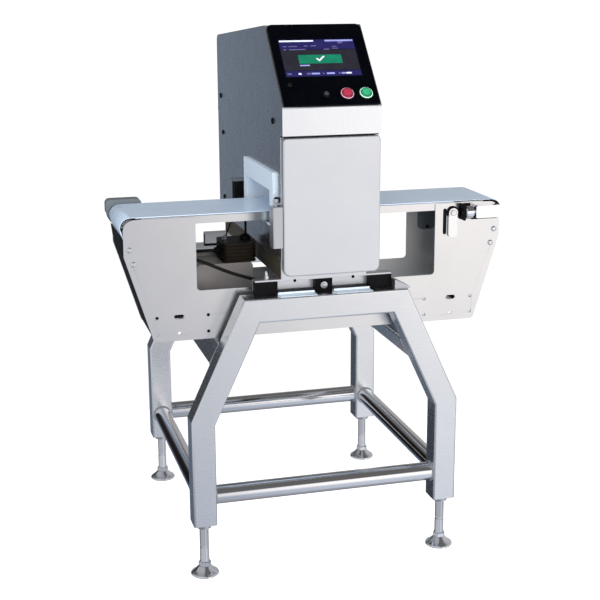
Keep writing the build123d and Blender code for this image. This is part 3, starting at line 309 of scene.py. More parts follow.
def cloudy_colour(tree, shader, colour, spread, scale):
    """Colour that drifts between a darker and a lighter version of itself. Returns the drift."""
    dark = tuple(max(0.0, c - spread) for c in colour)
    light = tuple(min(1.0, c + spread) for c in colour)
    cloud = noise(tree, (1, 1, 1), scale, 4.0)
    tree.links.new(ramp(tree, cloud, [(0.3, dark), (0.7, light)]), shader.inputs["Base Color"])
    return cloud


def metal(name, colour, rough, grain=(1, 1, 60), depth=0.00002, spread=0.03, gloss_spread=0.08,
          strength=0.35):
    """Brushed or polished metal: cloudy tone, and streaks along the grain in roughness and bump."""
    mat, tree, shader = material(name)
    shader.inputs["Metallic"].default_value = 1.0
    cloudy_colour(tree, shader, colour, spread, 9.0)
    streaks = noise(tree, grain, 40.0, 5.0, 0.7)
    low, high = max(0.02, rough - gloss_spread), min(1.0, rough + gloss_spread)
    tree.links.new(ramp(tree, streaks, [(0.25, grey(low)), (0.75, grey(high))]), shader.inputs["Roughness"])
    bump(tree, shader, streaks, strength, depth)
    return mat


def satin(name, colour, rough, metallic):
    """Dull sheet metal that takes some of the lamps' light as well."""
    mat = metal(name, colour, rough, (60, 1, 60), 0.00001, 0.02)
    mat.node_tree.nodes["Principled BSDF"].inputs["Metallic"].default_value = metallic
    return mat


def plastic(name, colour, rough, spread=0.01, pebble=900.0, depth=0.00004, coat=0.0, shine=0.5):
    """Moulded plastic or rubber: fine pebble, slight tone change and uneven gloss."""
    mat, tree, shader = material(name)
    shader.inputs["Specular IOR Level"].default_value = shine
    cloud = cloudy_colour(tree, shader, colour, spread, 25.0)
    fine = noise(tree, (1, 1, 1), pebble, 2.0)
    low, high = max(0.03, rough - 0.06), min(1.0, rough + 0.08)
    tree.links.new(ramp(tree, cloud, [(0.2, grey(low)), (0.8, grey(high))]), shader.inputs["Roughness"])
    shader.inputs["Coat Weight"].default_value = coat
    bump(tree, shader, fine, 0.3, depth)
    return mat


def paint(name, colour, rough, spread=0.015, shine=0.5, coat=0.2):
    """Sprayed paint with orange peel and a thin coat."""
    mat, tree, shader = material(name)
    shader.inputs["Specular IOR Level"].default_value = shine
    cloud = cloudy_colour(tree, shader, colour, spread, 12.0)
    peel = noise(tree, (1, 1, 1), 420.0, 2.0)
    tone = ramp(tree, cloud, [(0.2, grey(rough - 0.05)), (0.8, grey(rough + 0.08))])
    tree.links.new(tone, shader.inputs["Roughness"])
    shader.inputs["Coat Weight"].default_value = coat
    bump(tree, shader, peel, 0.25, 0.00008)
    return mat


def belt_material():
    """Smooth pale blue belt with a fine weave showing through and faint run marks along it."""
    mat, tree, shader = material("belt_blue")
    marks = noise(tree, (0.6, 14, 0.6), 8.0, 4.0)
    colour = ramp(tree, marks, [(0.3, (0.52, 0.63, 0.765)), (0.72, (0.605, 0.71, 0.835))])
    tree.links.new(colour, shader.inputs["Base Color"])
    coords = place_coordinates(tree, (1, 1, 1))
    both = add(tree, "ShaderNodeMath", operation="MULTIPLY")
    for row, axis in enumerate("XY"):
        wave = add(tree, "ShaderNodeTexWave", Scale=260.0, Distortion=0.2)
        wave.bands_direction = axis
        tree.links.new(coords, wave.inputs["Vector"])
        tree.links.new(wave.outputs["Fac"], both.inputs[row])
    gloss = ramp(tree, marks, [(0.2, grey(0.30)), (0.8, grey(0.46))])
    tree.links.new(gloss, shader.inputs["Roughness"])
    shader.inputs["Coat Weight"].default_value = 0.15
    bump(tree, shader, both.outputs[0], 0.15, 0.00005)
    return mat


def glow(name, colour, strength):
    """A lit shape on the screen, with a slight unevenness in its light."""
    mat, tree, shader = material(name)
    shader.inputs["Specular IOR Level"].default_value = 0.12
    dark, light = tuple(c * 0.88 for c in colour), tuple(c * 1.12 for c in colour)
    cloud = noise(tree, (1, 1, 1), 60.0, 2.0)
    tone = ramp(tree, cloud, [(0.3, dark), (0.7, light)])
    tree.links.new(tone, shader.inputs["Base Color"])
    tree.links.new(tone, shader.inputs["Emission Color"])
    shader.inputs["Emission Strength"].default_value = strength
    shader.inputs["Roughness"].default_value = 0.25
    return mat


def make_materials():
    """Every material by name. Numbers after the colour are in the order of each function's arguments."""
    return {
        "case": metal("case_steel", (0.83, 0.84, 0.86), 0.26, (40, 1, 1), 0.00001, 0.015, 0.05, 0.15),
        "door": metal("door_steel", (0.86, 0.86, 0.87), 0.42, (60, 60, 1), 0.00002, 0.015),
        # Box steel: a darker copy of the door steel; the darker tone is painted shade
        "box": metal("shaded_box_steel", (0.66, 0.66, 0.68), 0.42, (60, 60, 1), 0.00002, 0.015),
        "frame": metal("frame_steel", (0.79, 0.80, 0.815), 0.26, (1, 1, 30), 0.00001, 0.02, 0.06, 0.2),
        "plate": metal("plate_steel", (0.775, 0.77, 0.765), 0.24, (60, 1, 60), 0.00001, 0.02),
        # Rear plate: a warmer copy of the plate steel, made part diffuse so the lamps light it; its warm tone
        # is painted light reflected on its inner face
        "rear_plate": satin("rear_plate_warm_lit_steel", (0.70, 0.67, 0.64), 0.3, 0.4),
        "polished": metal("polished_steel", (0.80, 0.80, 0.82), 0.10, (1, 1, 1), 0.00001, 0.02, 0.04),
        "roller": metal("roller_steel", (0.55, 0.56, 0.58), 0.3, (60, 1, 60)),
        "bright": metal("bright_zinc", (0.86, 0.86, 0.88), 0.16, (1, 1, 1), 0.00001, 0.03, 0.05),
        "weld": metal("weld_bead", (0.55, 0.57, 0.60), 0.3, (1, 1, 1), 0.00004, 0.08),
        "alloy": metal("alloy", (0.66, 0.67, 0.69), 0.3, (20, 1, 20)),
        "copper": metal("copper_wire", (0.72, 0.38, 0.22), 0.3, (60, 1, 1)),
        "white": plastic("tunnel_white", (0.71, 0.80, 0.89), 0.4, 0.008),
        "black": plastic("moulded_black", (0.004, 0.0035, 0.004), 0.5, 0.0015, shine=0.08),
        "rubber": plastic("black_rubber", (0.008, 0.008, 0.008), 0.6, 0.003, shine=0.12),
        "panel": plastic("panel_film", (0.0008, 0.0012, 0.0022), 0.2, 0.0005, 1500.0, 0.00001, 0.0, 0.06),
        "resin": plastic("potting_resin", (0.30, 0.26, 0.18), 0.5, 0.03),
        "board": plastic("board_green", (0.03, 0.16, 0.08), 0.4, 0.02),
        "red": plastic("red_cap", (0.38, 0.024, 0.06), 0.25, 0.03, 300.0, 0.00003, 0.4),
        "green": plastic("green_cap", (0.022, 0.33, 0.15), 0.25, 0.03, 300.0, 0.00003, 0.4),
        "dark": plastic("dark_cap", (0.036, 0.031, 0.044), 0.3, 0.006, 300.0, 0.00003, 0.3),
        "red_rim": plastic("red_rim", (0.13, 0.006, 0.018), 0.3, 0.004, 300.0, 0.00003, 0.3),
        "green_rim": plastic("green_rim", (0.008, 0.10, 0.045), 0.3, 0.004, 300.0, 0.00003, 0.3),
        "pink_ring": plastic("pink_ring", (0.56, 0.30, 0.36), 0.25, 0.02, 300.0, 0.00001, 0.3),
        "mint_ring": plastic("mint_ring", (0.50, 0.80, 0.62), 0.25, 0.02, 300.0, 0.00001, 0.3),
        "lamp": plastic("lamp_lens", (0.007, 0.004, 0.004), 0.2, 0.002, 300.0, 0.00002, 0.2),
        "gearbox": paint("gearbox_grey", (0.20, 0.182, 0.172), 0.45, 0.02, 0.3, 0.05),
        "motor": paint("motor_dark", (0.012, 0.008, 0.003), 0.5, 0.005, 0.2, 0.0),
        # Base rails: dark brown that is painted shade under the head, with the gear motor's warm reflection
        # painted in
        "under": paint("painted_shade_brown", (0.06, 0.052, 0.036), 0.5, 0.015, 0.25, 0.0),
        "cover": paint("cover_grey", (0.14, 0.157, 0.173), 0.42, 0.015, 0.4, 0.1),
        "belt": belt_material(),
        "screen": glow("screen_dark", (0.003, 0.003, 0.010), 0.2),
        "screen_navy": glow("screen_navy", (0.013, 0.011, 0.060), 0.5),
        "screen_grey": glow("screen_grey", (0.014, 0.0135, 0.019), 0.5),
        "screen_green": glow("screen_green", (0.006, 0.11, 0.060), 0.7),
        "screen_white": glow("screen_white", (0.48, 0.50, 0.60), 0.7),
        "screen_lavender": glow("screen_lavender", (0.20, 0.21, 0.44), 0.55),
        "screen_dim": glow("screen_dim", (0.085, 0.075, 0.17), 0.5),
    }


NODE_MATERIALS = {
    "case": ["lower_case", "upper_case"],
    "door": ["front_door", "base_frame"],
    "box": ["infeed_sensor_box"],
    # Base rails take the brown of painted shade and reflection
    "under": ["base_rails"],
    "frame": ["front_frame", "rear_frame", "side_tubes", "cross_members", "leg_bushes"],
    "plate": ["front_side_plate", "slider_bed"],
    "rear_plate": ["rear_side_plate"],
    "polished": ["front_rail", "rear_rail", "side_rails", "release_lever"],
    "bright": ["take_up_blocks", "front_tension_nut", "rear_tension_nut", "tail_axle"],
    "roller": ["drive_roller", "tail_roller", "left_corner_roller", "right_corner_roller", "bearing_units"],
    "alloy": ["drive_pulley", "motor_pulley"],
    "copper": ["coil_windings"],
    "white": ["tunnel_liner", "tunnel_flange_left", "tunnel_flange_right"],
    "black": ["insulating_blocks", "button_bezels", "rear_sensor", "cable_glands", "end_guards",
              "take_up_brackets"],
    "rubber": ["case_gasket", "timing_belt", "motor_cable"],
    "panel": ["control_panel"],
    "resin": ["coil_core"],
    "board": ["electronics"],
    "red": ["stop_button"],
    "green": ["start_button"],
    "dark": ["reset_button"],
    "lamp": ["status_lamp"],
    "gearbox": ["gearbox", "motor_bracket"],
    "motor": ["gear_motor"],
    "cover": ["drive_cover", "rear_sensor_bracket"],
    "belt": ["belt"],
    "screen": ["display"],
}

# Nodes whose sharp edges are broken in the render, by the width of the break
SOFT_EDGES = {
    EDGE_BEVEL: ["lower_case", "upper_case", "front_frame", "rear_frame", "base_frame", "insulating_blocks",
                 "tunnel_flange_left", "tunnel_flange_right", "gearbox"],
    PLATE_BEVEL: ["front_door", "control_panel", "front_side_plate", "rear_side_plate", "infeed_sensor_box",
                  "belt", "gear_motor", "motor_bracket", "release_lever", "take_up_blocks",
                  "take_up_brackets", "cross_members", "rear_sensor_bracket", "end_guards"],
}


def dress_nodes(materials):
    """Give each carried-over node its material."""
    for key, names in NODE_MATERIALS.items():
        for name in names:
            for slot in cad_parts[name].material_slots:
                slot.link = "OBJECT"
                slot.material = materials[key]


def soften_edges():
    """Break the sharp edges of the nodes made of sheet, tube and casting."""
    for width, names in SOFT_EDGES.items():
        for name in names:
            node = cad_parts[name]
            weld = node.modifiers.new("weld", "WELD")
            weld.merge_threshold = WELD_DISTANCE
            bevel = node.modifiers.new("edges", "BEVEL")
            bevel.width = width * MM
            bevel.segments = 2
            bevel.limit_method = "ANGLE"
            bevel.angle_limit = math.radians(BEVEL_ANGLE)
            bevel.use_clamp_overlap = True
            bevel.harden_normals = True


# Pieces

class Workshop:
    """Makes pieces of the scene with their material, riding on a body."""

    def __init__(self, materials):
        self.materials = materials

    def finish(self, name, mesh, key, slot, body):
        """Turn a mesh into a piece that rides on a body."""
        piece = bpy.data.objects.new(name, mesh)
        bpy.context.collection.objects.link(piece)
        mesh.materials.append(self.materials[key])
        for face in mesh.polygons:
            face.use_smooth = True
        mesh.set_sharp_from_angle(angle=math.radians(SMOOTH_ANGLE))
        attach(piece, body)
        return piece

    def mesh(self, name, vertices, faces, key, slot, body=MACHINE):
        """A piece from vertices and faces, its outside facing out."""
        data = bpy.data.meshes.new(name)
        data.from_pydata(vertices, [], faces)
        work = bmesh.new()
        work.from_mesh(data)
        bmesh.ops.remove_doubles(work, verts=work.verts, dist=1e-7)
        bmesh.ops.recalc_face_normals(work, faces=work.faces)
        work.to_mesh(data)
        work.free()
        return self.finish(name, data, key, slot, body)

    def turned(self, name, groups, rings, key, slot, body=MACHINE, segments=24):
        """Turned pieces at several (point, axis) places, from rings of (height, radius, sides)."""
        vertices, faces = [], []
        for point, axis in groups:
            base = len(vertices)
            turn = Z_AXIS.rotation_difference(Vector(axis)).to_matrix()
            for height, radius, sides in rings:
                for step in range(segments):
                    angle = 2 * math.pi * step / segments
                    reach = ring_radius(radius, sides, angle)
                    local = Vector((reach * math.cos(angle), reach * math.sin(angle), height)) * MM
                    vertices.append(point + turn @ local)
            for row in range(len(rings) - 1):
                low = base + row * segments
                for step in range(segments):
                    turned_on = (step + 1) % segments
                    faces.append((low + step, low + turned_on,
                                  low + segments + turned_on, low + segments + step))
            faces.append(tuple(base + step for step in reversed(range(segments))))
            top = base + (len(rings) - 1) * segments
            faces.append(tuple(top + step for step in range(segments)))
        return self.mesh(name, vertices, faces, key, slot, body)

    def plate(self, name, low, high, key, slot):
        """A plate between two outlines of equal length."""
        count = len(low)
        faces = [tuple(range(count)), tuple(range(count, 2 * count))]
        for row in range(count):
            after = (row + 1) % count
            faces.append((row, after, count + after, count + row))
        return self.mesh(name, low + high, faces, key, slot)

    def slab(self, name, outline, low, high, key, slot, axis="Y"):
        """A plate from an outline, from low to high along an axis, in millimetres from the stand's middle."""
        skins = []
        for depth in (low, high):
            places = [{"X": (depth, a, b), "Y": (a, depth, b), "Z": (a, b, depth)}[axis] for a, b in outline]
            skins.append([stand_point(*place) for place in places])
        return self.plate(name, *skins, key, slot)

    def tube(self, name, points, radius, key, slot, body=MACHINE, closed=False, sides=10):
        """A round bar along points, whose radius may be a number or a function of the step."""
        vertices, faces = [], []
        count = len(points)
        for row, point in enumerate(points):
            after = points[(row + 1) % count] if closed or row + 1 < count else point
            before = points[row - 1] if closed or row else point
            along = (after - before).normalized()
            first = along.cross(Z_AXIS if abs(along.z) < 0.9 else X_AXIS).normalized()
            second = along.cross(first)
            size = radius(row) if callable(radius) else radius
            for step in range(sides):
                angle = 2 * math.pi * step / sides
                vertices.append(point + (first * math.cos(angle) + second * math.sin(angle)) * size * MM)
        for row in range(count if closed else count - 1):
            low, high = row * sides, ((row + 1) % count) * sides
            for step in range(sides):
                turned_on = (step + 1) % sides
                faces.append((low + step, low + turned_on, high + turned_on, high + step))
        if not closed:
            faces.append(tuple(range(sides)))
            faces.append(tuple((count - 1) * sides + step for step in range(sides)))
        return self.mesh(name, vertices, faces, key, slot, body)


def ring_radius(radius, sides, angle):
    """Radius of a round ring, or of a polygon's ring whose half width across flats it is."""
    if not sides:
        return radius
    wedge = 2 * math.pi / sides
    return radius / math.cos((angle % wedge) - wedge / 2)


def dome_rings(radius, height):
    """Rings of a dome-headed socket screw."""
    socket = radius * 0.38
    straight = height * 0.25
    rings = [(0, radius, 0), (straight, radius, 0)]
    for share in (0.3, 0.55, 0.75, 0.9):
        rise = straight + (height - straight) * math.sin(share * math.pi / 2)
        rings.append((rise, radius * math.cos(share * math.pi / 2.6), 0))
    rings += [(height, socket * 1.3, 0), (height, socket, 6), (height * 0.45, socket, 6)]
    return rings


def hex_rings(flats, height, washer):
    """Rings of a hexagon head with a chamfered top, on a round washer."""
    half = flats / 2
    return [(0, half * 1.75, 0), (washer * 0.8, half * 1.75, 0), (washer, half * 1.68, 0), (washer, half, 6),
            (washer + height * 0.85, half, 6), (washer + height, half * 0.9, 0)]


def cap_rings(radius, height):
    """Rings of a plain rounded cap."""
    straight = height * 0.4
    rings = [(0, radius, 0), (straight, radius, 0)]
    for share in (0.35, 0.65, 0.9):
        rise = straight + (height - straight) * math.sin(share * math.pi / 2)
        rings.append((rise, radius * math.cos(share * math.pi / 2.4), 0))
    return rings + [(height, radius * 0.2, 0)]


# Levelling feet

def make_foot(name, shop):
    """Pad with a rolled rim and a cone, hexagonal collar, plain shank and threaded spindle."""
    low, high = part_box(name)
    centre = (low + high) / 2
    pad = (high.x - low.x) / 2 / MM
    top = high.z / MM
    rings = [(height, pad - less, 0) for height, less in FOOT_RIM]
    for share in FOOT_CONE_SHARES:
        reach = pad - FOOT_CONE_SET - (pad - FOOT_CONE_NECK) * share ** FOOT_CONE_CURVE
        rings.append((FOOT_CONE_LOW + FOOT_CONE_RISE * share, reach, 0))
    rings += [*FOOT_COLLAR, (FOOT_THREAD_LOW, FOOT_SHANK, 0), (FOOT_THREAD_LOW + 1, FOOT_CORE, 0),
              (top - FOOT_CHAMFER, FOOT_CORE, 0), (top, FOOT_TIP, 0)]
    place = Vector((centre.x, centre.y, 0))
    foot = shop.turned(name + "_pad", [(place, Z_AXIS)], rings, "polished", "polished", name, FOOT_SIDES)
    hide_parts(name)
    low_margin, high_margin = THREAD_MARGINS
    make_thread(name, place, FOOT_THREAD_LOW + low_margin, top - high_margin, shop)


def make_thread(foot, place, z0, z1, shop):
    """Helical thread ridge round a foot's spindle, from z0 to z1."""
    count = int((z1 - z0) / THREAD_PITCH * THREAD_STEPS)
    half = THREAD_PITCH * THREAD_HALF_SHARE
    crest = half * THREAD_CREST_SHARE
    root = THREAD_RADIUS - THREAD_DEPTH - THREAD_ROOT_SINK
    profile = [(-half, root), (-crest, THREAD_RADIUS), (crest, THREAD_RADIUS), (half, root)]
    vertices, faces = [], []
    for step in range(count + 1):
        angle = 2 * math.pi * step / THREAD_STEPS
        z = z0 + THREAD_PITCH * step / THREAD_STEPS
        fade = min(1.0, step / THREAD_STEPS, (count - step) / THREAD_STEPS)
        for rise, reach in profile:
            depth = root + (reach - root) * fade
            vertices.append(place + Vector((depth * math.cos(angle), depth * math.sin(angle), z + rise)) * MM)
    size = len(profile)
    for step in range(count):
        low, high = step * size, (step + 1) * size
        for row in range(size):
            after = (row + 1) % size
            faces.append((low + row, low + after, high + after, high + row))
    faces.append(tuple(range(size)))
    faces.append(tuple(count * size + row for row in range(size)))
    shop.mesh(foot + "_thread", vertices, faces, "polished", "polished", foot)


def make_feet(shop):
    """Four levelling feet in place of the plain ones."""
    for end in ENDS:
        for side in SIDES:
            make_foot(f"foot_{end}_{side}", shop)


# Welds

def bead_radius(row):
    """Radius of a weld bead that ripples along its run."""
    swing = math.cos(row * 2 * math.pi / RIPPLE_POINTS)
    return WELD_RADIUS * (1 - WELD_RIPPLE_SHARE + WELD_RIPPLE_SHARE * swing)


def ring_points(centre, axis, radius):
    """Points of a circle, close enough together for a rippled bead."""
    count = max(12, int(2 * math.pi * radius / (WELD_RIPPLE / RIPPLE_POINTS)))
    turn = Z_AXIS.rotation_difference(axis).to_matrix()
    points = []
    for step in range(count):
        angle = 2 * math.pi * step / count
        points.append(centre + turn @ (Vector((math.cos(angle), math.sin(angle), 0)) * radius * MM))
    return points


def loop_points(corners):
    """Points along a closed polygon, close enough together for a rippled bead."""
    points = []
    for first, second in zip(corners, corners[1:] + corners[:1]):
        count = max(2, int((second - first).length / (WELD_RIPPLE * MM / RIPPLE_POINTS)))
        points += [first.lerp(second, step / count) for step in range(count)]
    return points


def weld_bead(name, points, shop):
    """A closed rippled bead."""
    shop.tube(name, points, bead_radius, "weld", "stainless", closed=True, sides=WELD_SIDES)


def make_welds(shop):
    """Beads where the round rails and the square side tubes meet the legs."""
    inset = WELD_INSET * MM
    for end in ENDS:
        low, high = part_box(f"{end}_rail")
        centre, radius = (low + high) / 2, (high.z - low.z) / 2 / MM
        for side, x in (("left", low.x + inset), ("right", high.x - inset)):
            ring = ring_points(Vector((x, centre.y, centre.z)), X_AXIS, radius + WELD_STAND_OFF)
            weld_bead(f"weld_{end}_rail_{side}", ring, shop)
    low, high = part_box("side_rails")
    rail_z, radius = (low.z + high.z) / 2, (high.z - low.z) / 2 / MM
    for side, x in (("left", low.x + radius * MM), ("right", high.x - radius * MM)):
        for end, y in (("front", low.y + inset), ("rear", high.y - inset)):
            ring = ring_points(Vector((x, y, rail_z)), Y_AXIS, radius + WELD_STAND_OFF)
            weld_bead(f"weld_side_rail_{side}_{end}", ring, shop)
    low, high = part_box("side_tubes")
    for side, sign in SIDES.items():
        section = tube_section(sign)
        for end, y in (("front", low.y + inset), ("rear", high.y - inset)):
            corners = [Vector((x, y, z)) for x, z in section]
            weld_bead(f"weld_side_tube_{side}_{end}", loop_points(corners), shop)


def tube_section(sign):
    """Four corners of a sloped side tube in X and Z, as the extreme points of its section."""
    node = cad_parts["side_tubes"]
    points = [v.co for v in node.data.vertices if v.co.x * sign > 0]
    return [(p.x, p.z) for p in (min(points, key=lambda c: c.z), max(points, key=lambda c: c.x),
                                 max(points, key=lambda c: c.z), min(points, key=lambda c: c.x))]


# Screws and bolts

def plate_faces():
    """Y of the outer faces of both side plates, with the way out."""
    front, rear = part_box("front_side_plate"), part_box("rear_side_plate")
    thick = rear[1].y - rear[0].y
    return {"front": (front[1].y - thick, -Y_AXIS), "rear": (rear[1].y, Y_AXIS)}


def flat_point(x, y, z):
    """X and Z in millimetres from the middle of the stand, Y as it is in the frame."""
    centre = stand_centre()
    return Vector((centre.x + x * MM, y, z * MM))


def make_plate_screws(shop):
    """Dome-headed screws that hold the end guards."""
    for end, (y, out) in plate_faces().items():
        places = []
        for sign in SIDES.values():
            for x, z in GUARD_SCREWS:
                places.append((flat_point(sign * x, y, z), out))
        shop.turned(f"guard_screws_{end}", places, dome_rings(DOME_RADIUS, DOME_HEIGHT), "bright", "polished")


def make_case_caps(shop):
    """Black caps over the screws on both sides of the head, and a plug on its left side."""
    low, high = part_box("lower_case")
    for side, sign in SIDES.items():
        x = low.x if sign < 0 else high.x
        for row, (y, z, radius) in enumerate(CASE_CAPS):
            place = Vector((x, stand_point(0, y, 0).y, z * MM))
            cap = cap_rings(radius, CASE_CAP_HEIGHT)
            shop.turned(f"case_cap_{side}_{row}", [(place, X_AXIS * sign)], cap, *MOULDED)
    y, z = CASE_PLUG
    place = Vector((low.x, stand_point(0, y, 0).y, z * MM))
    plug = cap_rings(CASE_PLUG_RADIUS, CASE_PLUG_HEIGHT)
    shop.turned("case_plug", [(place, -X_AXIS)], plug, *MOULDED)


def make_seam_cover(shop):
    """Thin strip over the joint of the two housings, round the sides and the back."""
    centre = stand_centre()
    low, high = ((corner - centre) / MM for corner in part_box("lower_case"))
    seam_low, seam_high = high.z - SEAM_LAP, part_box("upper_case")[0].z / MM + SEAM_LAP
    side = rectangle(low.y, high.y + SEAM_THICK, seam_low, seam_high)
    shop.slab("seam_cover_left", side, low.x - SEAM_THICK, low.x, "case", "stainless", "X")
    shop.slab("seam_cover_right", side, high.x, high.x + SEAM_THICK, "case", "stainless", "X")
    back = rectangle(low.x, high.x, seam_low, seam_high)
    shop.slab("seam_cover_back", back, high.y, high.y + SEAM_THICK, "case", "stainless")


def on_side(sign, pair):
    """Two distances from the middle as places on one side of it, the lower place first."""
    return sorted(sign * distance for distance in pair)


def make_base_fittings(shop):
    """Bolts and screws of the base, pale strips of painted reflection on the beams, a stud, and a bracket by
    the right block.
    """
    low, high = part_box("insulating_blocks")
    bolt = hex_rings(BLOCK_BOLT_FLATS, BLOCK_BOLT_HEIGHT, BLOCK_BOLT_WASHER)
    screw = cap_rings(BASE_SCREW_RADIUS, BASE_SCREW_HEIGHT)
    for end, sign in ENDS.items():
        y = low.y if sign < 0 else high.y
        out = Y_AXIS * sign
        place = Vector(((low.x + high.x) / 2, y, (low.z + high.z) / 2))
        shop.turned(f"block_bolt_{end}", [(place, out)], bolt, "alloy", "polished")
        places = [(flat_point(x, y, BASE_SCREW_Z), out) for x in (-BASE_SCREW_X, BASE_SCREW_X)]
        shop.turned(f"base_screws_{end}", places, screw, *MOULDED)
        for side, sign_x in SIDES.items():
            # Pale strips on the beam top and at its edge: painted reflection of light
            across = on_side(sign_x, PAINTED_SHEEN_X)
            strip = rectangle(*across, *on_side(sign, PAINTED_SHEEN_Y))
            shop.slab(f"beam_painted_sheen_{end}_{side}", strip, *PAINTED_SHEEN_Z, "white", "white_plastic", "Z")
            riser = rectangle(*across, *PAINTED_RISE_Z)
            shop.slab(f"beam_painted_rise_{end}_{side}", riser, *on_side(sign, PAINTED_RISE_Y), "white", "white_plastic")
    shop.turned("base_stud", [(stand_point(*STUD_PLACE), Z_AXIS)], STUD_RINGS, "bright", "polished")
    shop.slab("beam_bracket", WEDGE_OUTLINE, *WEDGE_Y, "box", "stainless")


def make_plate_fittings(shop):
    """Plugs and backings in the plates' holes, a black sheet of painted shade by the latch, a friction pad
    under the lever and an inner bracket.
    """
    plug = cap_rings(PLUG_RADIUS, PLUG_HEIGHT)
    for end, (y, out) in plate_faces().items():
        for side, sign in SIDES.items():
            key, slot = MOULDED if sign < 0 else ("plate", "plate_steel")
            places = [(flat_point(sign * x, y, z) - out * PLUG_SINK * MM, out) for x, z in PLATE_PLUGS]
            shop.turned(f"plate_plugs_{end}_{side}", places, plug, key, slot)
    for end, (y, out) in plate_faces().items():
        depth = (y - stand_centre().y) / MM
        near, far = sorted(depth - out.y * sink for sink in SLOT_BACKING_SINKS)
        shop.slab(f"slot_backing_{end}", rounded(*SLOT_BACKING), near, far, *MOULDED)
    # Black sheet beside the lever: painted shade
    shop.slab("latch_slot_shade", rounded(*LATCH_SHADE), *LATCH_SHADE_Y, *MOULDED)
    shop.slab("lever_pad", rounded(*LEVER_PAD), *LEVER_PAD_Y, *MOULDED)
    shop.slab("inner_bracket", rounded(*BRACKET), *BRACKET_Y, "cover", "stainless")
    screw = cap_rings(BRACKET_SCREW_RADIUS, BRACKET_SCREW_HEIGHT)
    shop.turned("inner_bracket_screw", [(stand_point(*BRACKET_SCREW), -Y_AXIS)], screw, *MOULDED)


def end_arc(side, radius, angles):
    """Points in X and Z round the end roller of a side, by angles from the top outwards."""
    points = []
    for angle in angles:
        turn = math.radians(angle)
        points.append((SIDES[side] * (END_ROLLER_X + radius * math.sin(turn)),
                       END_ROLLER_Z + radius * math.cos(turn)))
    return points


def make_belt_gap_shadows(shop):
    """Black strips of painted shadow in the gap between the belt and the front plate at both ends, a bright
    ring and a guard lip.
    """
    outer, inner = GAP_SHADOW_RADII
    for side, angles in GAP_SHADOW_ANGLES.items():
        start = GAP_SHADOW_START[side]
        outline = [(start, END_ROLLER_Z + outer), *end_arc(side, outer, angles),
                   *end_arc(side, inner, reversed(angles)), (start, END_ROLLER_Z + inner)]
        # Each strip is painted shadow of the gap at the belt's edge
        shop.slab(f"belt_gap_shadow_{side}", outline, *GAP_SHADOW_Y, *MOULDED)
    ring = [stand_point(x, END_RING_Y, z) for x, z in end_arc("left", END_RING_RADIUS, END_RING_ANGLES)]
    shop.tube("roller_end_ring", ring, END_RING_THICK, "alloy", "polished")
    shop.slab("guard_lip", GUARD_LIP, *GUARD_LIP_Y, *MOULDED)


def make_motor_brace(shop):
    """Thin hangers from the slider bed down to the gear motor, with their fittings."""
    hanger = [stand_point(*place) for place in HANGER_ROUTE]
    shop.tube("motor_hanger", hanger, HANGER_RADIUS, "motor", "motor_paint")
    fitting = [(stand_point(*FITTING_PLACE), Z_AXIS)]
    shop.turned("hanger_fitting", fitting, FITTING_RINGS, "bright", "polished")
    rod = [stand_point(*place) for place in ROD_ROUTE]
    shop.tube("motor_rod", rod, ROD_RADIUS, *MOULDED)
    shop.turned("motor_rod_boot", [(stand_point(*BOOT_PLACE), Z_AXIS)], BOOT_RINGS, *MOULDED)


def rectangle(a0, a1, b0, b1):
    """Corner points of a rectangle."""
    return [(a0, b0), (a1, b0), (a1, b1), (a0, b1)]


# Screen

def slope_axes():
    """Directions up the sloped face and out of it."""
    up = Vector((0, math.cos(PANEL_ANGLE), math.sin(PANEL_ANGLE)))
    out = Vector((0, -math.sin(PANEL_ANGLE), math.cos(PANEL_ANGLE)))
    return up, out


def screen_frame():
    """Lower middle of the display's outer face, with its half width and its height in millimetres."""
    up, out = slope_axes()
    points = [v.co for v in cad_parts["display"].data.vertices]
    low = min(p.dot(up) for p in points)
    high = max(p.dot(up) for p in points)
    face = max(p.dot(out) for p in points)
    wide = max(p.x for p in points) - min(p.x for p in points)
    base = Vector((middle("display").x, 0, 0)) + up * low + out * face
    return base, wide / 2 / MM, (high - low) / MM


def flat_plate(name, corners, thick, key, shop):
    """A thin plate on the glass from corner points of x and distance up the slope, in millimetres."""
    up, out = slope_axes()
    base = screen_frame()[0]
    skins = []
    for height in (0.0, thick):
        skins.append([base + (X_AXIS * x + up * rise + out * height) * MM for x, rise in corners])
    shop.plate("screen_" + name, *skins, "screen_" + key, "screen_glass")


def rounded(x0, x1, s0, s1, radius, steps=5):
    """Corner points of a rounded rectangle."""
    points = []
    for cx, cs, start in ((x1 - radius, s1 - radius, 0), (x0 + radius, s1 - radius, 90),
                          (x0 + radius, s0 + radius, 180), (x1 - radius, s0 + radius, 270)):
        for step in range(steps + 1):
            angle = math.radians(start + 90 * step / steps)
            points.append((cx + radius * math.cos(angle), cs + radius * math.sin(angle)))
    return points


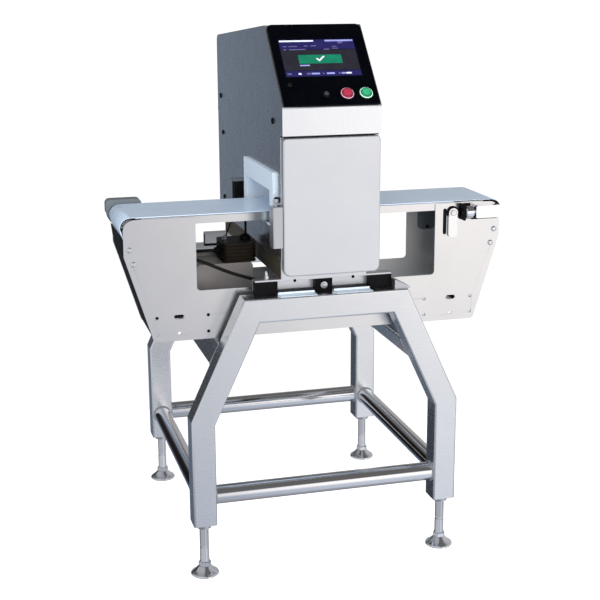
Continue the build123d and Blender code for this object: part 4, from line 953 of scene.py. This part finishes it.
def make_screen(shop):
    """Shapes on the lit screen: bars, a status box with a tick, and a row of keys."""
    half, tall = screen_frame()[1:]
    edge, top = half - SCREEN_RIM, tall - SCREEN_RIM
    foot_top, head_low = SCREEN_RIM + FOOT_BAND, top - TOP_BAND
    fields = (("top_band", head_low, top, "navy"),
              ("middle", foot_top + SCREEN_GAP, head_low - SCREEN_GAP, "grey"),
              ("foot_band", SCREEN_RIM, foot_top, "navy"))
    for name, low, high, key in fields:
        flat_plate(name, rounded(-edge, edge, low, high, FIELD_ROUND), FIELD_THICK, key, shop)
    bar_end, bar_low = edge - BAR_INSET, top - BAR_INSET - BAR_HEIGHT
    bars = (("bar_left", -bar_end, BAR_LEFT_END, bar_low, "white"),
            ("bar_right", BAR_RIGHT_START, bar_end, bar_low, "lavender"),
            ("tab_right", *TAB_X, top - TAB_DROP, "dim"))
    for name, x0, x1, low, key in bars:
        flat_plate(name, rounded(x0, x1, low, low + BAR_HEIGHT, BAR_ROUND), BAR_THICK, key, shop)
    for row, (x0, x1, low) in enumerate(SCREEN_MARKS):
        mark = rounded(x0, x1, low, low + MARK_HEIGHT, MARK_ROUND)
        flat_plate(f"mark_{row}", mark, BAR_THICK, "dim", shop)
    flat_plate("status_box", rounded(*STATUS_BOX, STATUS_ROUND), BAR_THICK, "green", shop)
    flat_plate("tick", TICK, TICK_THICK, "white", shop)
    flat_plate("under_bar", rounded(*UNDER_BAR, BAR_ROUND), BAR_THICK, "lavender", shop)
    for row, (x0, x1, key) in enumerate(SCREEN_KEYS):
        flat_plate(f"key_{row}", rounded(x0, x1, KEYS_LOW, KEYS_HIGH, BAR_ROUND), BAR_THICK, key, shop)


def button_ring(name, centre, points, radius, thick, key, slot, body, shop):
    """A ring round a button's middle, on the highest face of some points."""
    up, out = slope_axes()
    place = centre + out * (max(p.dot(out) for p in points) - centre.dot(out))
    rim = []
    for step in range(RING_STEPS):
        angle = 2 * math.pi * step / RING_STEPS
        rim.append(place + (X_AXIS * math.cos(angle) + up * math.sin(angle)) * radius * MM)
    shop.tube(name, rim, thick, key, slot, body, closed=True)


def make_button_rings(shop):
    """Pale rings in the bezels of the red and the green key, and dark rims round their caps."""
    bezels = [v.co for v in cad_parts["button_bezels"].data.vertices]
    for name, (pale, dark, slot) in BUTTON_RINGS.items():
        centre = middle(f"{name}_button")
        near = [p for p in bezels if abs(p.x - centre.x) < BEZEL_REACH * MM]
        button_ring(f"{name}_ring", centre, near, RING_RADIUS, RING_THICK, pale, slot, MACHINE, shop)
        cap = [v.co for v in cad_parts[f"{name}_button"].data.vertices]
        button_ring(f"{name}_rim", centre, cap, RIM_RADIUS, RIM_THICK, dark, slot, f"{name}_key", shop)


# Stage

def make_floor():
    """Pale floor, lit a little from within so that it meets the white background."""
    mat, tree, shader = material("pale_floor")
    cloud = noise(tree, (1, 1, 1), FLOOR_NOISE)
    tone = ramp(tree, cloud, [(0.3, FLOOR_DARK), (0.7, FLOOR_LIGHT)])
    tree.links.new(tone, shader.inputs["Base Color"])
    tree.links.new(tone, shader.inputs["Emission Color"])
    shader.inputs["Emission Strength"].default_value = FLOOR_GLOW
    shader.inputs["Roughness"].default_value = FLOOR_ROUGHNESS
    bpy.ops.mesh.primitive_circle_add(vertices=FLOOR_SIDES, radius=FLOOR_RADIUS, fill_type="NGON")
    floor = bpy.context.object
    floor.name = "floor"
    floor.data.materials.append(mat)
    floor.visible_glossy = False


def spread_over(tree, source, stops, smooth=False):
    """A colour ramp over a value, with its stops at values of their own, in rising order."""
    low, high = stops[0][0], stops[-1][0]
    fit = add(tree, "ShaderNodeMapRange", interpolation_type="SMOOTHSTEP" if smooth else "LINEAR")
    fit.inputs["From Min"].default_value = low
    fit.inputs["From Max"].default_value = high
    tree.links.new(source, fit.inputs["Value"])
    shares = [((at - low) / (high - low), colour) for at, colour in stops]
    return ramp(tree, fit.outputs["Result"], shares)


def blend(tree, kind, first, second, factor=None):
    """Mix of two colours, by a factor's colour or in full."""
    node = add(tree, "ShaderNodeMix", data_type="RGBA", blend_type=kind)
    node.inputs["Factor"].default_value = 1.0
    if factor is not None:
        tree.links.new(factor, node.inputs["Factor"])
    for socket, source in (("A", first), ("B", second)):
        if isinstance(source, tuple):
            node.inputs[socket].default_value = (*source, 1.0)
        else:
            tree.links.new(source, node.inputs[socket])
    return node.outputs["Result"]


def studio_colour(tree):
    """Colour by direction: the studio as the photographed sides meet it, and the rest of it elsewhere."""
    coords = tree.nodes.new("ShaderNodeTexCoord")
    split = tree.nodes.new("ShaderNodeSeparateXYZ")
    tree.links.new(coords.outputs["Generated"], split.inputs["Vector"])
    right, back, up = (split.outputs[axis] for axis in "XYZ")
    side = spread_over(tree, right, WORLD_SIDE)
    depth = spread_over(tree, back, WORLD_DEPTH, True)
    level = blend(tree, "MULTIPLY", blend(tree, "MULTIPLY", side, depth), spread_over(tree, up, WORLD_HEIGHT))
    capped = blend(tree, "MIX", level, WORLD_ABOVE, spread_over(tree, up, ABOVE_EDGE, True))
    whole = blend(tree, "MIX", capped, WORLD_BELOW, spread_over(tree, up, BELOW_EDGE, True))
    rest = blend(tree, "MULTIPLY", spread_over(tree, up, ROUND_HEIGHT), spread_over(tree, back, ROUND_DEPTH))
    corner = blend(tree, "LIGHTEN", spread_over(tree, right, RIGHT_EDGE), spread_over(tree, back, BACK_EDGE))
    reach = blend(tree, "MULTIPLY", spread_over(tree, right, SIDE_REACH), corner)
    return blend(tree, "MIX", rest, whole, reach)


def make_world():
    """Plain white to the eye, and a studio in reflections."""
    world = bpy.data.worlds.new("studio")
    bpy.context.scene.world = world
    world.use_nodes = True
    tree = world.node_tree
    background = tree.nodes["Background"]
    tree.links.new(studio_colour(tree), background.inputs["Color"])
    background.inputs["Strength"].default_value = WORLD_STRENGTH
    plain = add(tree, "ShaderNodeBackground", Color=(1, 1, 1, 1), Strength=BACKDROP_STRENGTH)
    path = tree.nodes.new("ShaderNodeLightPath")
    choice = tree.nodes.new("ShaderNodeMixShader")
    tree.links.new(path.outputs["Is Camera Ray"], choice.inputs["Fac"])
    tree.links.new(background.outputs["Background"], choice.inputs[1])
    tree.links.new(plain.outputs["Background"], choice.inputs[2])
    tree.links.new(choice.outputs["Shader"], tree.nodes["World Output"].inputs["Surface"])


def make_lights():
    """Large soft lights above, in front, at both sides and behind, that aren't seen in polished metal."""
    for name, (place, size, power, colour) in LAMPS.items():
        data = bpy.data.lights.new(name, "AREA")
        data.size = size
        data.energy = power
        data.color = colour
        lamp = bpy.data.objects.new(name, data)
        bpy.context.collection.objects.link(lamp)
        lamp.location = place
        lamp.rotation_euler = (LAMP_TARGET - Vector(place)).to_track_quat("-Z", "Y").to_euler()
        lamp.visible_glossy = False


def make_camera():
    """Camera at the photograph's place and angle."""
    data = bpy.data.cameras.new("camera")
    data.sensor_width = SENSOR_WIDTH
    data.lens = CAMERA_FOCAL_PIXELS / IMAGE_SIZE * SENSOR_WIDTH
    data.clip_end = 100.0
    camera = bpy.data.objects.new("camera", data)
    bpy.context.collection.objects.link(camera)
    azimuth, pitch, roll = (math.radians(a) for a in (CAMERA_AZIMUTH, CAMERA_PITCH, CAMERA_ROLL))
    level = math.cos(pitch)
    forward = Vector((math.sin(azimuth) * level, math.cos(azimuth) * level, -math.sin(pitch)))
    right = Vector((math.cos(azimuth), -math.sin(azimuth), 0))
    up = right.cross(forward)
    right, up = math.cos(roll) * right + math.sin(roll) * up, math.cos(roll) * up - math.sin(roll) * right
    turn = Matrix((right, up, -forward)).transposed().to_4x4()
    camera.matrix_world = Matrix.Translation(stand_point(*CAMERA_PLACE)) @ turn
    bpy.context.scene.camera = camera


def main():
    """Dress the frame, add the small trim, and set the stage."""
    materials = make_materials()
    shop = Workshop(materials)
    dress_nodes(materials)
    soften_edges()
    make_feet(shop)
    make_welds(shop)
    make_plate_screws(shop)
    make_case_caps(shop)
    make_seam_cover(shop)
    make_base_fittings(shop)
    make_plate_fittings(shop)
    make_belt_gap_shadows(shop)
    make_motor_brace(shop)
    make_screen(shop)
    make_button_rings(shop)
    make_floor()
    make_world()
    make_lights()
    make_camera()
    bpy.context.scene.view_settings.view_transform = "Standard"


main()
